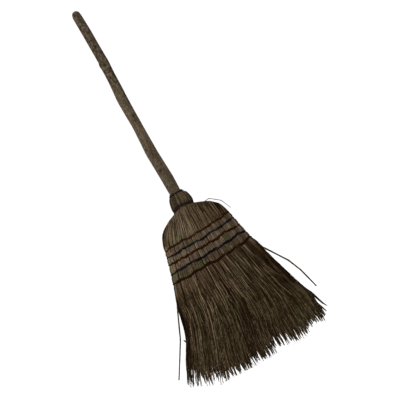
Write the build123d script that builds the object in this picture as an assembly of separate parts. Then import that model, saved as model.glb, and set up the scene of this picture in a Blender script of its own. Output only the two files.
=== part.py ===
from build123d import *
import math
import os

# A sewn straw broom. Millimetres, +Z up along the stick, the straw tips on
# z = 0, the wide face across X, the front face towards -Y.

# ---------------------------------------------------------------- dimensions
X_NECK = 8.3            # axis of the neck and of the stick's lower end
Z_STICK_TOP = 972.0     # top of the stick
X_GRIP = 4.8            # axis of the straight grip length of the stick
R_GRIP = 11.6           # stick radius over the grip length
Z_GRIP_LO, Z_GRIP_HI = 800.0, 912.0
R_STICK_NECK = 14.0     # stick radius where it enters the collar
Z_STICK_TAPER = 400.0   # below this the hidden end tapers
Z_STICK_END = 352.0
R_STICK_END = 10.0

# stick stations between the grip and the collar: z, axis x, radius
STICK = [
    (800.0, 4.8, 11.6), (745.0, 3.9, 12.1), (714.0, 2.4, 12.7), (674.0, 2.9, 12.3),
    (640.0, 3.5, 12.0), (594.0, 3.2, 13.2), (560.0, 2.8, 13.9), (525.0, 5.0, 13.9),
    (486.0, 6.9, 14.3), (452.0, 8.3, 14.0),
]

Z_COLLAR_TOP = 447.0
Z_NECK = 403.0          # underside of the neck wire, top of the covers
R_CORE_RING = 18.0      # core straw round the stick inside the collar
Z_CORE_TOP = 438.0
R_SHOULDER_RING = 21.5  # shoulder straw round the core inside the collar
Z_SHOULDER_TOP = 424.0
R_INNER_TOP = 23.0      # inner straw where it leaves the neck
R_COLLAR_IN = 23.3
LAYER_GAP_X = 1.6       # the inner straw stays this far inside the covers' edges
LAYER_GAP_Y = 0.4       # and this far behind their faces

WIRE_OUT = 1.8          # neck and collar wire diameter
WIRE_IN = 1.4           # inner wire diameter

TWINE_BAND_H = 3.2      # height of a twine band
TWINE_PROUD = 0.9       # a band stands this far out of the straw, and bites as deep
STITCH_D = 1.4          # sewing twine diameter
STITCH_PITCH = 12.0
STITCH_LEG = 2.5        # stitch legs pass this far above and below the band's middle

# outer envelope of the straw head: z, centre x, half width, half depth, squareness
HEAD = [
    (403.0, 9.6, 32.0, 27.5, 2.0),
    (393.0, 10.4, 58.6, 30.0, 2.2),
    (383.4, 10.5, 69.2, 31.0, 2.3),
    (373.7, 10.4, 78.2, 31.0, 2.4),
    (364.0, 10.0, 83.6, 30.3, 2.5),
    (344.8, 9.8, 89.6, 28.0, 2.7),
    (325.6, 9.5, 93.9, 25.6, 2.8),
    (306.5, 9.4, 98.0, 24.0, 2.8),
    (287.4, 9.3, 102.4, 23.0, 2.8),
    (268.3, 9.3, 107.8, 22.6, 2.8),
    (249.3, 9.5, 113.4, 22.9, 2.7),
    (230.4, 9.6, 119.6, 24.5, 2.6),
    (202.0, 9.4, 127.8, 28.5, 2.5),
    (173.8, 9.8, 135.6, 32.5, 2.4),
    (136.4, 10.0, 146.6, 37.5, 2.4),
    (99.0, 9.0, 162.0, 42.5, 2.4),
    (62.0, 7.0, 179.0, 46.5, 2.4),
    (30.0, 6.4, 184.0, 48.3, 2.4),
    (0.0, 6.2, 186.0, 49.0, 2.4),
]
# thickness of the cover straw at the same stations, across and through
COVER = [
    (11.8, 6.0), (8.0, 8.0), (8.0, 8.0), (8.0, 8.0), (8.0, 8.0), (8.0, 8.0),
    (8.0, 8.0), (8.0, 8.0), (8.0, 8.0), (8.0, 8.0), (8.0, 8.2), (8.5, 8.6),
    (9.0, 9.4), (9.6, 10.2), (10.5, 11.0), (11.5, 11.6), (12.5, 12.0),
    (13.0, 12.0), (13.0, 12.0),
]
# worn line of the tips, left to right, in X and Z
TIP_LINE = [(-200.0, 76.0), (-162.0, 34.5), (-134.0, 20.6), (-64.0, 0.0),
            (123.0, 0.0), (166.0, 16.0), (178.0, 30.0), (206.0, 70.0)]
# half width of the core straw about the neck axis: z, half width
CORE_SIDE = [(403.0, 18.6), (225.0, 50.0), (-2.0, 64.0)]

# seam rows, top to bottom: height at the middle, rise per mm of x
X_ROWS = 9.4
ROWS = [(339.8, 0.046), (322.4, 0.050), (304.6, 0.027), (284.4, 0.032), (262.0, 0.040)]

# bending of the free ends: axis along X at this height, knuckle radius
Z_FLEX = 225.0
R_FLEX = 26.6
FLEX_GAP = 0.5

STRAY_D = 2.0           # stray straw diameter
LEFT_STRAY = [(-102.0, 0.0, 231.0), (-116.5, -3.0, 208.0), (-147.0, -8.0, 136.0), (-194.5, -14.0, 53.0)]
RIGHT_STRAY = [(120.5, 0.0, 241.0), (133.0, -2.0, 228.0), (166.4, -6.0, 178.5), (183.0, -8.0, 143.0), (193.6, -9.0, 92.0)]
SHOULDER_STRAY = [(50.0, -8.0, 388.5), (61.0, -10.5, 397.4), (74.0, -12.0, 395.5), (96.0, -12.0, 377.5), (107.2, -11.0, 352.0)]


# ------------------------------------------------------------------- helpers
def rounded(cx, a, b, n, th):
    """The point of a rounded oblong (superellipse) at the angle th."""
    c, s = math.cos(th), math.sin(th)
    return (
        cx + a * math.copysign(abs(c) ** (2.0 / n), c),
        b * math.copysign(abs(s) ** (2.0 / n), s),
    )


def between(rows, z):
    """The stations' values at the height z."""
    for (z1, *p), (z0, *q) in zip(rows, rows[1:]):
        if z0 <= z <= z1:
            f = (z - z0) / (z1 - z0)
            return [f * u + (1.0 - f) * v for u, v in zip(p, q)]
    return list(rows[0][1:] if z > rows[0][0] else rows[-1][1:])


INNER = [
    (z, X_NECK, R_INNER_TOP, R_INNER_TOP, n) if z == Z_NECK else (z, cx, a - ca, b - cb, n)
    for (z, cx, a, b, n), (ca, cb) in zip(HEAD, COVER)
]
FILL = [(z, cx, a - LAYER_GAP_X, b - LAYER_GAP_Y, n) for z, cx, a, b, n in INNER]


def half_depth(rows, x, z):
    """Half depth of an envelope's surface at x, z."""
    cx, a, b, n = between(rows, z)
    u = min(1.0, abs(x - cx) / a)
    return b * (1.0 - u ** n) ** (1.0 / n)


def heights(hi, lo):
    """The stations from hi down to lo, with both ends."""
    return [hi] + [r[0] for r in HEAD if lo < r[0] < hi] + [lo]


def polygon(points):
    """A flat face with straight edges through the given points."""
    return make_face(Polyline(*points, close=True))


def bow(rows, z, side):
    """Half of an envelope's outline at z, from its right edge to its left."""
    cx, a, b, n = between(rows, z)
    pts = [(*rounded(cx, a, b, n, side * math.pi * k / 18.0), z) for k in range(19)]
    pts[0], pts[-1] = (cx + a, 0.0, z), (cx - a, 0.0, z)
    return pts


def cover(hi, lo, side):
    """The cover straw of one face: the room between the two envelopes."""
    return loft([polygon(bow(HEAD, z, side) + bow(INNER, z, side)[::-1]) for z in heights(hi, lo)], ruled=True)


def core_width(z):
    return between([(q, w) for q, w in CORE_SIDE], z)[0]


def core_slab(hi, lo):
    """The middle of the inner straw, between two flat sides."""
    faces = []
    for z in heights(hi, lo):
        w = core_width(z)
        xs = [X_NECK + w * (1.0 - k / 3.0) for k in range(7)]
        face = [(x, -half_depth(FILL, x, z), z) for x in xs]
        back = [(x, half_depth(FILL, x, z), z) for x in reversed(xs)]
        faces.append(polygon(face + back))
    return loft(faces, ruled=True)


def side_slab(hi, lo, side):
    """The inner straw left or right of the core."""
    faces = []
    for z in heights(hi, lo):
        cx, a, b, n = between(FILL, z)
        x0 = X_NECK + side * core_width(z)
        y0 = half_depth(FILL, x0, z)
        start = math.atan2((y0 / b) ** (n / 2.0), (abs(x0 - cx) / a) ** (n / 2.0))
        pts = []
        for k in range(13):
            th = start * (1.0 - k / 6.0)
            x, y = rounded(cx, a, b, n, th if side > 0 else math.pi - th)
            pts.append((x, y, z))
        faces.append(polygon(pts))
    return loft(faces, ruled=True)


def band_outline(z_mid, rise, grow):
    """The head's outline in the tilted plane of a seam row."""
    pts = []
    for k in range(48):
        th = 2.0 * math.pi * k / 48.0
        z = z_mid
        for _ in range(6):
            cx, a, b, n = between(HEAD, z)
            x, y = rounded(cx, a + grow, b + grow, n, th)
            z = z_mid + rise * (x - X_ROWS)
        pts.append((x, y, z))
    return polygon(pts)


def prism_xz(points, depth):
    """A solid with the given outline in X and Z, reaching depth each way in Y."""
    face = make_face(Polyline(*[(x, 0.0, z) for x, z in points], close=True))
    return extrude(face, amount=depth, dir=(0, 1, 0), both=True)


def ring(points):
    """Revolves a closed outline of (radius, z) about the neck's axis."""
    face = make_face(Polyline(*[(X_NECK + r, 0.0, z) for r, z in points], close=True))
    return revolve(face, Axis((X_NECK, 0, 0), (0, 0, 1)), 360.0)


def winding(radius, z, turns, d):
    """Turns of wire laid side by side round the neck's axis."""
    pitch = d * 1.03
    path = Helix(pitch=pitch, height=pitch * turns, radius=radius, center=(X_NECK, 0, z), direction=(0, 0, 1))
    start = Plane(origin=path @ 0, z_dir=path % 0)
    return sweep(start * Circle(d / 2.0), path=path)


def straw(points, d, bend):
    """A round straw along straight runs joined by arcs."""
    path = FilletPolyline(*points, radius=bend)
    start = Plane(origin=path @ 0, z_dir=path % 0)
    return sweep(start * Circle(d / 2.0), path=path)


def one(shape):
    """The single solid of a result."""
    found = shape.solids()
    assert len(found) == 1, f"{len(found)} solids where one was meant"
    return found[0]


parts = {}

# --------------------------------------------------------------------- stick
stick = loft([Pos(x, 0, z) * Circle(r) for z, x, r in STICK], ruled=True)
stick += Pos(X_GRIP, 0, Z_GRIP_LO) * extrude(Circle(R_GRIP), amount=Z_GRIP_HI - Z_GRIP_LO)
stick += loft([Pos(X_GRIP, 0, Z_GRIP_HI) * Circle(R_GRIP), Pos(4.2, 0, 938.0) * Circle(11.0), Pos(3.6, 0, 960.0) * Circle(10.4)])
crown = make_face(
    Polyline((3.6, 0, 960.0), (14.0, 0, 960.0), (13.5, 0, 964.5), (12.2, 0, 968.0), (9.6, 0, 970.8), (6.6, 0, Z_STICK_TOP), (3.6, 0, Z_STICK_TOP), close=True)
)
stick += revolve(crown, Axis((3.6, 0, 0), (0, 0, 1)), 360.0)
stick += Pos(X_NECK, 0, Z_STICK_TAPER) * extrude(Circle(R_STICK_NECK), amount=STICK[-1][0] - Z_STICK_TAPER)
stick += loft([Pos(X_NECK, 0, Z_STICK_TAPER) * Circle(R_STICK_NECK), Pos(X_NECK, 0, Z_STICK_END) * Circle(R_STICK_END)])

# ------------------------------------------------- tacks that hold the wire
def tack(z, r_head, length, head_d, head_t, turn):
    """A small nail driven towards the neck's axis from the back."""
    nail = Pos(0, 0, -length) * extrude(Circle(0.8), amount=length)
    nail += extrude(Circle(head_d / 2.0), amount=head_t)
    return Pos(X_NECK, 0, z) * Rot(0, 0, turn) * Pos(0, r_head, 0) * Rot(-90, 0, 0) * nail


start_tack = tack(384.0, 13.2, 9.0, 4.4, 0.9, -15.0)
end_tack = tack(411.6, 28.05, 21.0, 4.6, 0.9, -15.0)
tacks = [start_tack, end_tack]

# -------------------------------------------------------------- straw layers
# Each layer runs from the neck to its tips and is drawn in two lengths, which
# meet at the round knuckle where the free ends bend.
tips = prism_xz([(-260.0, 300.0), (-260.0, 140.0)] + TIP_LINE + [(260.0, 140.0), (260.0, 300.0)], 120.0)
knuckle_top = Z_FLEX + R_FLEX + 4.0
flex_room = Pos(0, 0, Z_FLEX) * Rot(0, 90, 0) * Cylinder(R_FLEX + FLEX_GAP, 600.0)
outline = make_face([
    Line((-300.0, -R_FLEX, Z_FLEX), (-300.0, -80.0, Z_FLEX - 60.0)),
    Line((-300.0, -80.0, Z_FLEX - 60.0), (-300.0, -80.0, -20.0)),
    Line((-300.0, -80.0, -20.0), (-300.0, 80.0, -20.0)),
    Line((-300.0, 80.0, -20.0), (-300.0, 80.0, Z_FLEX - 60.0)),
    Line((-300.0, 80.0, Z_FLEX - 60.0), (-300.0, R_FLEX, Z_FLEX)),
    ThreePointArc((-300.0, R_FLEX, Z_FLEX), (-300.0, 0.0, Z_FLEX + R_FLEX), (-300.0, -R_FLEX, Z_FLEX)),
])
lower_room = extrude(outline, amount=600.0, dir=(1, 0, 0)) & tips


def upper(solid):
    return one(solid - flex_room)


def lower(solid):
    return one(solid & lower_room)


front, front_ends = upper(cover(Z_NECK, Z_FLEX, -1)), lower(cover(knuckle_top, 0.0, -1))
back, back_ends = upper(cover(Z_NECK, Z_FLEX, 1)), lower(cover(knuckle_top, 0.0, 1))
core, core_ends = upper(core_slab(Z_NECK, Z_FLEX)), lower(core_slab(knuckle_top, 0.0))
left, left_ends = upper(side_slab(Z_NECK, Z_FLEX, -1)), lower(side_slab(knuckle_top, 0.0, -1))
right, right_ends = upper(side_slab(Z_NECK, Z_FLEX, 1)), lower(side_slab(knuckle_top, 0.0, 1))

# the stick's room inside the straw
stick_room = Pos(X_NECK, 0, Z_STICK_TAPER - 0.1) * extrude(Circle(R_STICK_NECK + 0.05), amount=60.0)
stick_room += loft([
    Pos(X_NECK, 0, Z_STICK_TAPER) * Circle(R_STICK_NECK + 0.05),
    Pos(X_NECK, 0, Z_STICK_END - 0.3) * Circle(R_STICK_END + 0.05),
])

# the layers' butts round the stick, inside the collar
core_block = prism_xz(
    [(X_NECK - w, z) for z, w in CORE_SIDE] + [(X_NECK + w, z) for z, w in reversed(CORE_SIDE)], 120.0
)
core += ring([(R_STICK_NECK + 0.05, Z_NECK - 4.0), (R_CORE_RING, Z_NECK - 4.0), (R_CORE_RING, 433.5), (15.4, Z_CORE_TOP), (R_STICK_NECK + 0.05, Z_CORE_TOP)])
core = one(core - stick_room)
shoulder_ring = ring([(R_CORE_RING, Z_NECK - 4.0), (R_SHOULDER_RING, Z_NECK - 4.0), (R_SHOULDER_RING, 420.5), (19.6, Z_SHOULDER_TOP), (R_CORE_RING, Z_SHOULDER_TOP)])
shoulder_ring = shoulder_ring - core_block
left = one(left + (shoulder_ring & Pos(X_NECK - 100.0, 0, 410.0) * Box(200.0, 200.0, 100.0)))
right = one(right + (shoulder_ring & Pos(X_NECK + 100.0, 0, 410.0) * Box(200.0, 200.0, 100.0)))

# ------------------------------------------------------ collar of stalk butts
collar = ring([
    (R_STICK_NECK + 0.2, Z_COLLAR_TOP), (18.0, Z_COLLAR_TOP), (18.0, 442.4), (20.8, 442.4), (23.4, 437.0), (25.3, 431.6),
    (26.7, 426.0), (27.6, 420.0), (27.9, 414.0), (27.9, 409.0), (25.8, 409.0), (25.8, Z_NECK), (R_COLLAR_IN, Z_NECK),
    (R_COLLAR_IN, 426.0), (20.0, 434.6), (16.4, 442.0), (R_STICK_NECK + 0.2, 445.0),
])
# the covers leave the neck wire's seat and the collar's foot free
neck_wire = winding(26.75, 404.1, 2, WIRE_OUT)
collar_wire = winding(18.0 + WIRE_OUT / 2.0 + 0.05, 443.4, 1, WIRE_OUT)
core_wire = winding(R_CORE_RING + WIRE_IN / 2.0 + 0.03, 427.6, 3, WIRE_IN)
shoulder_wire = winding(R_SHOULDER_RING + WIRE_IN / 2.0 + 0.03, 414.6, 3, WIRE_IN)

# ------------------------------------------------------------ seams of twine
# Each row is a band of twine laid round the head and a line of stitches sewn
# through it. The twine is pulled tight, so both bite into the straw.
bands, stitches = [], []
for z_mid, rise in ROWS:
    ring_face = band_outline(z_mid, rise, TWINE_PROUD) - band_outline(z_mid, rise, -TWINE_PROUD)
    up = Vector(-rise, 0, 1).normalized()
    ring_face = Pos(up * (-TWINE_BAND_H / 2.0)) * ring_face
    bands.append(one(extrude(ring_face, amount=TWINE_BAND_H, dir=up)))
    cx, a, b, n = between(HEAD, z_mid)
    count = int(2.0 * 0.86 * a / STITCH_PITCH)
    row = []
    for i in range(count):
        x = cx + (i - (count - 1) / 2.0) * STITCH_PITCH
        z = z_mid + rise * (x - X_ROWS)
        y = max(half_depth(HEAD, x, z - STITCH_LEG), half_depth(HEAD, x, z + STITCH_LEG)) + TWINE_PROUD + STITCH_D / 2.0 + 0.35
        loop = FilletPolyline(
            (x, 0, z + STITCH_LEG), (x, y, z + STITCH_LEG), (x, y, z - STITCH_LEG),
            (x, -y, z - STITCH_LEG), (x, -y, z + STITCH_LEG), (x, -0.01, z + STITCH_LEG), radius=1.6,
        )
        start = Plane(origin=loop @ 0, z_dir=loop % 0)
        row.append(one(sweep(start * Circle(STITCH_D / 2.0), path=loop)))
    stitches.append(row)

# -------------------------------------------------------------- stray straws
left_stray = straw(LEFT_STRAY, STRAY_D, 60.0)
right_stray = straw(RIGHT_STRAY, STRAY_D, 40.0)
shoulder_stray = straw(SHOULDER_STRAY, STRAY_D * 0.9, 9.0)

# ------------------------------------------------------- holes for the tacks
for t in tacks:
    stick = stick - t
    core = core - t
    collar = collar - t
    left = left - t
    right = right - t

parts["handle"] = one(stick)
parts["wire_tacks"] = Compound(children=[one(t) for t in tacks])
parts["core_straw"] = one(core)
parts["left_shoulder_straw"] = one(left)
parts["right_shoulder_straw"] = one(right)
parts["front_cover_straw"] = one(front)
parts["back_cover_straw"] = one(back)
parts["collar_stalks"] = one(collar)
parts["core_binding_wire"] = one(core_wire)
parts["shoulder_binding_wire"] = one(shoulder_wire)
parts["neck_binding_wire"] = one(neck_wire)
parts["collar_binding_wire"] = one(collar_wire)
for i, (band, row) in enumerate(zip(bands, stitches), 1):
    parts[f"seam_band_{i}"] = band
    parts[f"seam_stitches_{i}"] = Compound(children=row)
parts["core_ends"] = core_ends
parts["left_shoulder_ends"] = left_ends
parts["right_shoulder_ends"] = right_ends
parts["front_cover_ends"] = front_ends
parts["back_cover_ends"] = back_ends
parts["left_stray_straw"] = one(left_stray)
parts["right_stray_straw"] = one(right_stray)
parts["shoulder_stray_straw"] = one(shoulder_stray)

os.makedirs("parts", exist_ok=True)
for name, shape in parts.items():
    export_step(shape, f"parts/{name}.step")
    box = shape.bounding_box()
    print(f"{name:24s} {shape.volume:12.1f}  {box.min.X:8.1f} {box.min.Y:7.1f} {box.min.Z:7.1f}  {box.max.X:8.1f} {box.max.Y:7.1f} {box.max.Z:7.1f}")
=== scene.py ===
import math

import bpy
import numpy as np
from mathutils import Matrix, Vector


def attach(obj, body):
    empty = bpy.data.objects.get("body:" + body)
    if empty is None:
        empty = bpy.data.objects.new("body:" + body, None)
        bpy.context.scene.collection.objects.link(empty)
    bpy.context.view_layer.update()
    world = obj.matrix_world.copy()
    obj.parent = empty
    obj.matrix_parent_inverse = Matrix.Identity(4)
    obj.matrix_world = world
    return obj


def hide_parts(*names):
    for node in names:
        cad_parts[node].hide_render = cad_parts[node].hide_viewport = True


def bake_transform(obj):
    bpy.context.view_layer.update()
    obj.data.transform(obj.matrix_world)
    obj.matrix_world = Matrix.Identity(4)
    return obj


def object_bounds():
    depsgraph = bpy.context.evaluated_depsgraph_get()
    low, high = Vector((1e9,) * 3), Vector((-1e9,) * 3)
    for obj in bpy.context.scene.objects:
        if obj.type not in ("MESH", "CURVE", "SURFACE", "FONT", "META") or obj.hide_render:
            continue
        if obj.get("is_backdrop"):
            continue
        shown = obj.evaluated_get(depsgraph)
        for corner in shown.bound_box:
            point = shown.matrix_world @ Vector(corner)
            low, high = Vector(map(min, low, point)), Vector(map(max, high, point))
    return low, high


# A sewn straw broom, every straw drawn. Lengths below are millimetres in the
# part's frame: +Z up the stick, tips on z = 0, front face towards -Y.

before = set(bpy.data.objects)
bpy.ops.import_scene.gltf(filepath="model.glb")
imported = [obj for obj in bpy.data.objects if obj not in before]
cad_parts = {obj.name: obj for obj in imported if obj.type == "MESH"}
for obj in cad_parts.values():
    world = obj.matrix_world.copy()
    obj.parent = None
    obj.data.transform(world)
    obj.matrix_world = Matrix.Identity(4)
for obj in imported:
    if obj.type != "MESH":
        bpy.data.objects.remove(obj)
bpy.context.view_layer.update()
MM = 0.001
TAU = 2.0 * math.pi


def seeded(k):
    return np.random.default_rng(90210 + k)


# ------------------------------------------------------------------ tables
X_NECK = 8.3
Z_FLEX = 225.0

# envelope of the straw: z, centre x, half width, half depth, squareness
HEAD = np.array([
    (418.0, 8.3, 23.2, 23.2, 2.0), (406.6, 8.3, 24.4, 24.4, 2.0), (403.6, 9.6, 28.6, 26.4, 2.0),
    (400.0, 11.6, 40.6, 28.2, 2.08), (393.0, 12.0, 56.8, 30.0, 2.2), (383.4, 10.8, 68.6, 31.0, 2.3),
    (373.7, 10.4, 78.2, 31.0, 2.4), (364.0, 10.0, 83.6, 30.3, 2.5), (344.8, 9.8, 89.6, 28.0, 2.7),
    (325.6, 9.5, 93.9, 25.6, 2.8), (306.5, 9.4, 98.0, 24.0, 2.8), (287.4, 9.3, 102.4, 23.0, 2.8),
    (268.3, 9.3, 107.8, 22.6, 2.8), (249.3, 9.5, 113.4, 22.9, 2.7), (230.4, 9.6, 119.6, 24.5, 2.6),
    (202.0, 8.9, 127.0, 28.5, 2.5), (173.8, 10.1, 133.9, 32.5, 2.4), (136.4, 11.2, 144.6, 37.5, 2.4),
    (99.0, 10.2, 160.8, 42.5, 2.4), (80.0, 8.5, 167.2, 44.6, 2.4), (62.0, 5.5, 171.5, 46.5, 2.4), (30.0, 4.0, 174.5, 48.3, 2.4),
    (-4.0, 4.0, 175.5, 49.0, 2.4),
])[::-1]

# worn line of the tips: x, z
TIPS = np.array([
    (-200.0, 60.0), (-190.0, 42.0), (-184.0, 36.0), (-176.0, 33.0), (-168.0, 28.0), (-160.0, 20.0), (-152.0, 15.0), (-140.0, 14.0),
    (-128.0, 6.0), (-112.0, 8.0), (-104.0, 3.0), (-96.0, 0.6), (-86.0, 0.6), (-78.0, 3.0), (-70.0, 0.6), (-20.0, 0.6), (-8.0, 3.5),
    (0.0, 0.6), (18.0, 0.6), (26.0, 3.0), (34.0, 7.0), (50.0, 10.0), (64.0, 10.0), (76.0, 9.0), (88.0, 3.0), (96.0, 6.0), (106.0, 2.0),
    (114.0, 3.0), (124.0, 9.0), (136.0, 16.0), (146.0, 14.0), (154.0, 18.0), (162.0, 17.0), (168.0, 11.0), (176.0, 15.0), (184.0, 30.0),
    (190.0, 44.0), (200.0, 70.0),
])

# seam rows: height in the middle of the front, fall to the left end, rise to the right end
ROWS = [
    (337.2, 0.6, -82.0, 7.6, 100.0, "red"), (319.9, 0.6, -86.0, 8.4, 103.0, "navy"),
    (302.7, 0.8, -90.0, 4.6, 108.0, "maroon"), (282.4, 1.0, -94.0, 5.6, 112.0, "navy"),
    (260.0, 1.4, -101.0, 7.6, 118.0, "brown"),
]
CELL = 12.0             # stitch pitch at mid height of the seams
CELL_Z = 300.0

# stick: z, centre x, radius
STICK = np.array([
    (352.0, 8.3, 10.0), (400.0, 8.3, 13.9), (430.0, 8.2, 13.9), (446.0, 7.7, 14.1), (459.0, 7.3, 14.5), (486.0, 7.1, 15.0), (505.0, 6.2, 14.9),
    (525.0, 5.2, 14.7), (545.0, 4.1, 14.6), (564.0, 3.2, 14.5), (594.0, 3.6, 13.5), (644.0, 4.0, 12.4), (674.0, 3.2, 12.8),
    (715.0, 2.8, 13.3), (745.0, 4.2, 12.7), (770.0, 5.0, 12.0), (786.0, 5.3, 11.9), (806.0, 5.7, 12.4), (818.0, 5.9, 12.7), (829.0, 6.0, 12.3),
    (842.0, 5.9, 11.9), (868.0, 5.2, 11.9), (909.0, 4.5, 12.0), (930.0, 3.7, 11.8), (951.0, 2.9, 11.6), (961.0, 2.6, 10.9), (967.0, 2.5, 8.8),
    (970.6, 2.4, 5.0), (972.0, 2.4, 1.2),
])

# stalk line of the collar: z, radius of the stalks' axes about the neck
COLLAR = np.array([
    (396.0, 25.6), (400.0, 24.8), (403.5, 25.0), (408.4, 25.5), (410.5, 26.6), (414.0, 27.0), (420.0, 26.7), (426.0, 25.7),
    (431.6, 24.3), (437.0, 22.4), (440.6, 20.1), (442.6, 17.5), (444.4, 16.5), (446.2, 16.6), (448.4, 16.4),
])

LEFT_STRAY = [(-100.0, 2.0, 238.0), (-106.0, -0.5, 227.5), (-113.8, -2.4, 213.0), (-122.2, -4.2, 194.5), (-135.8, -6.2, 161.5), (-146.4, -8.0, 135.6), (-170.6, -11.0, 93.6), (-193.4, -14.0, 54.6)]
RIGHT_STRAY = [(116.0, 1.0, 248.0), (125.8, -1.2, 236.0), (139.4, -3.2, 216.0), (165.7, -6.0, 176.4), (179.5, -7.6, 143.6), (193.3, -9.0, 92.8)]
SHOULDER_STRAY = [(44.0, -6.0, 383.0), (52.0, -8.4, 390.0), (60.0, -10.4, 394.6), (71.8, -11.4, 395.7), (83.2, -12.0, 387.0), (95.2, -11.8, 377.4), (106.7, -11.0, 351.4)]


# ------------------------------------------------------------ small tools
def pchip(x, y, q):
    """Smooth line through (x, y), x rising, that never overshoots its points."""
    x, y, q = np.asarray(x, float), np.asarray(y, float), np.asarray(q, float)
    h = np.diff(x)
    d = np.diff(y) / h
    m = np.empty_like(y)
    m[0], m[-1] = d[0], d[-1]
    w1, w2 = 2 * h[1:] + h[:-1], h[1:] + 2 * h[:-1]
    same = d[:-1] * d[1:] > 0
    safe0, safe1 = np.where(same, d[:-1], 1.0), np.where(same, d[1:], 1.0)
    m[1:-1] = np.where(same, (w1 + w2) / (w1 / safe0 + w2 / safe1), 0.0)
    i = np.clip(np.searchsorted(x, q, "right") - 1, 0, len(x) - 2)
    t = np.clip((q - x[i]) / h[i], 0.0, 1.0)
    t2, t3 = t * t, t * t * t
    return (
        (2 * t3 - 3 * t2 + 1) * y[i] + (t3 - 2 * t2 + t) * h[i] * m[i]
        + (-2 * t3 + 3 * t2) * y[i + 1] + (t3 - t2) * h[i] * m[i + 1]
    )


def smooth(lo, hi, v):
    t = np.clip((v - lo) / (hi - lo), 0.0, 1.0)
    return t * t * (3 - 2 * t)


def head(z):
    return [pchip(HEAD[:, 0], HEAD[:, k], z) for k in (1, 2, 3, 4)]


def power(c, e):
    return np.sign(c) * np.abs(c) ** e


def on_head(th, z, grow=0.0, depth=1.0):
    """The envelope's point at the angle th and height z, moved out by grow."""
    cx, a, b, n = head(z)
    x = cx + (a + grow) * depth * power(np.cos(th), 2.0 / n)
    y = (b + grow) * depth * power(np.sin(th), 2.0 / n)
    return x, y


def even_angles(count, z, rng, jitter=0.5):
    """Angles that share the envelope's outline at z evenly."""
    th = np.linspace(0.0, TAU, 6001)
    x, y = on_head(th, np.full_like(th, z))
    run = np.concatenate([[0.0], np.cumsum(np.hypot(np.diff(x), np.diff(y)))])
    want = (np.arange(count) + 0.5 + jitter * rng.uniform(-1, 1, count)) / count * run[-1]
    return np.interp(want % run[-1], run, th)


def tip_height(x):
    return pchip(TIPS[:, 0], TIPS[:, 1], np.clip(x, -200.0, 200.0))


def row_height(k, x):
    mid, fall, xl, rise, xr, _ = ROWS[k]
    right = np.clip((x - 5.0) / (xr - 5.0), 0.0, 1.15)
    left = np.clip((5.0 - x) / (5.0 - xl), 0.0, 1.15)
    slack = 0.85 * np.sin(x / 6.3 + 2.1 * k) + 0.75 * np.sin(x / 10.7 + 4.0 * k) - (0.0, 0.0, 0.3, 0.6, 1.1)[k]
    return mid + rise * right ** 1.7 - fall * left ** 1.3 + slack - np.interp(x, [-110.0, -40.0, 10.0, 60.0, 115.0], [1.6, 1.8, 2.0, 0.6, -1.0])


def drawn_in(x, z):
    """How far the seams pull the straw in at x, z, and how it swells between."""
    pull = np.zeros(np.broadcast(x, z).shape)
    for k in range(len(ROWS)):
        d = z - row_height(k, x)
        pull -= 2.1 * np.exp(-((d / 3.6) ** 2)) + 0.5 * np.exp(-((d / 9.0) ** 2))
    return pull + 0.9


# cells of straw between the stitches, as angles on the outline
def cell_lines():
    cx, a, b, n = [float(v) for v in head(np.array(CELL_Z))]
    count = int(2 * 0.9 * a / CELL)
    u = (np.arange(count + 1) - count / 2.0) * CELL / a
    u = u + seeded(5).uniform(-2.4, 2.4, count + 1) / a
    front = TAU - np.arccos(power(u, n / 2.0))
    back = np.arccos(power(u, n / 2.0))
    return u, np.sort(np.concatenate([front, back]))


CELL_U, CELL_EDGES = cell_lines()


def bunched(th, share):
    """Draws straws towards the middle of their cell by share."""
    e = np.concatenate([[CELL_EDGES[-1] - TAU], CELL_EDGES, [CELL_EDGES[0] + TAU]])
    k = np.clip(np.searchsorted(e, th % TAU, "right") - 1, 0, len(e) - 2)
    return th + share * ((e[k] + e[k + 1]) / 2.0 - th % TAU), k


def fanned(th, z):
    """On the shoulders the straws run nearly straight; on the right they come over the rim."""
    cx, a, b, n = [float(v) for v in head(np.array(338.0))]
    u = power(np.cos(th), 2.0 / n)
    x = cx + a * u
    lean = np.interp(x, [-90.0, -45.0, 0.0, 50.0, 90.0], [0.50, 0.38, 0.10, -0.07, -0.12])
    want = x[:, None] + lean[:, None] * (np.maximum(z, 338.0) - 338.0)
    cx, a, b, n = head(z)
    most = np.maximum(0.985, np.abs(u))[:, None]
    turn = np.arccos(power(np.clip((want - cx) / a, -most, most), n / 2.0))
    turn = np.where(np.sin(th)[:, None] < 0.0, TAU - turn, turn)
    return th[:, None] + (turn - th[:, None]) * 0.88 * smooth(338.0, 352.0, z) * (1.0 - 0.5 * smooth(396.0, 405.0, z)) * (1.0 - smooth(0.80, 0.96, -u))[:, None]


def arch(th, z):
    """The neck wire, and the straw it holds, ride up in the middle of the front and sit lower at the flanks."""
    up = 6.0 * np.maximum(0.0, -np.sin(th)) ** 1.6 - 2.2 * smooth(0.9, 0.2, np.sin(th))
    return up * smooth(380.0, 399.0, z) * smooth(436.0, 414.0, z)


# --------------------------------------------------------------- meshes
def tubes(path, radius, sides, ref=(0.0, 1.0, 0.0), turn=None, closed=False):
    """Rings along each path: path (N, M, 3), radius (N, M)."""
    path = np.asarray(path, float)
    if closed:
        t = np.roll(path, -1, 1) - np.roll(path, 1, 1)
    else:
        t = np.gradient(path, axis=1)
    t /= np.linalg.norm(t, axis=2, keepdims=True) + 1e-12
    b = np.cross(t, np.asarray(ref, float))
    b /= np.linalg.norm(b, axis=2, keepdims=True) + 1e-12
    n = np.cross(b, t)
    ang = np.linspace(0.0, TAU, sides, endpoint=False)[None, None, :]
    if turn is not None:
        ang = ang + np.asarray(turn)[:, None, None]
    c, s = np.cos(ang)[..., None], np.sin(ang)[..., None]
    r = np.asarray(radius, float)[:, :, None, None]
    return path[:, :, None, :] + r * (c * b[:, :, None, :] + s * n[:, :, None, :])


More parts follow.
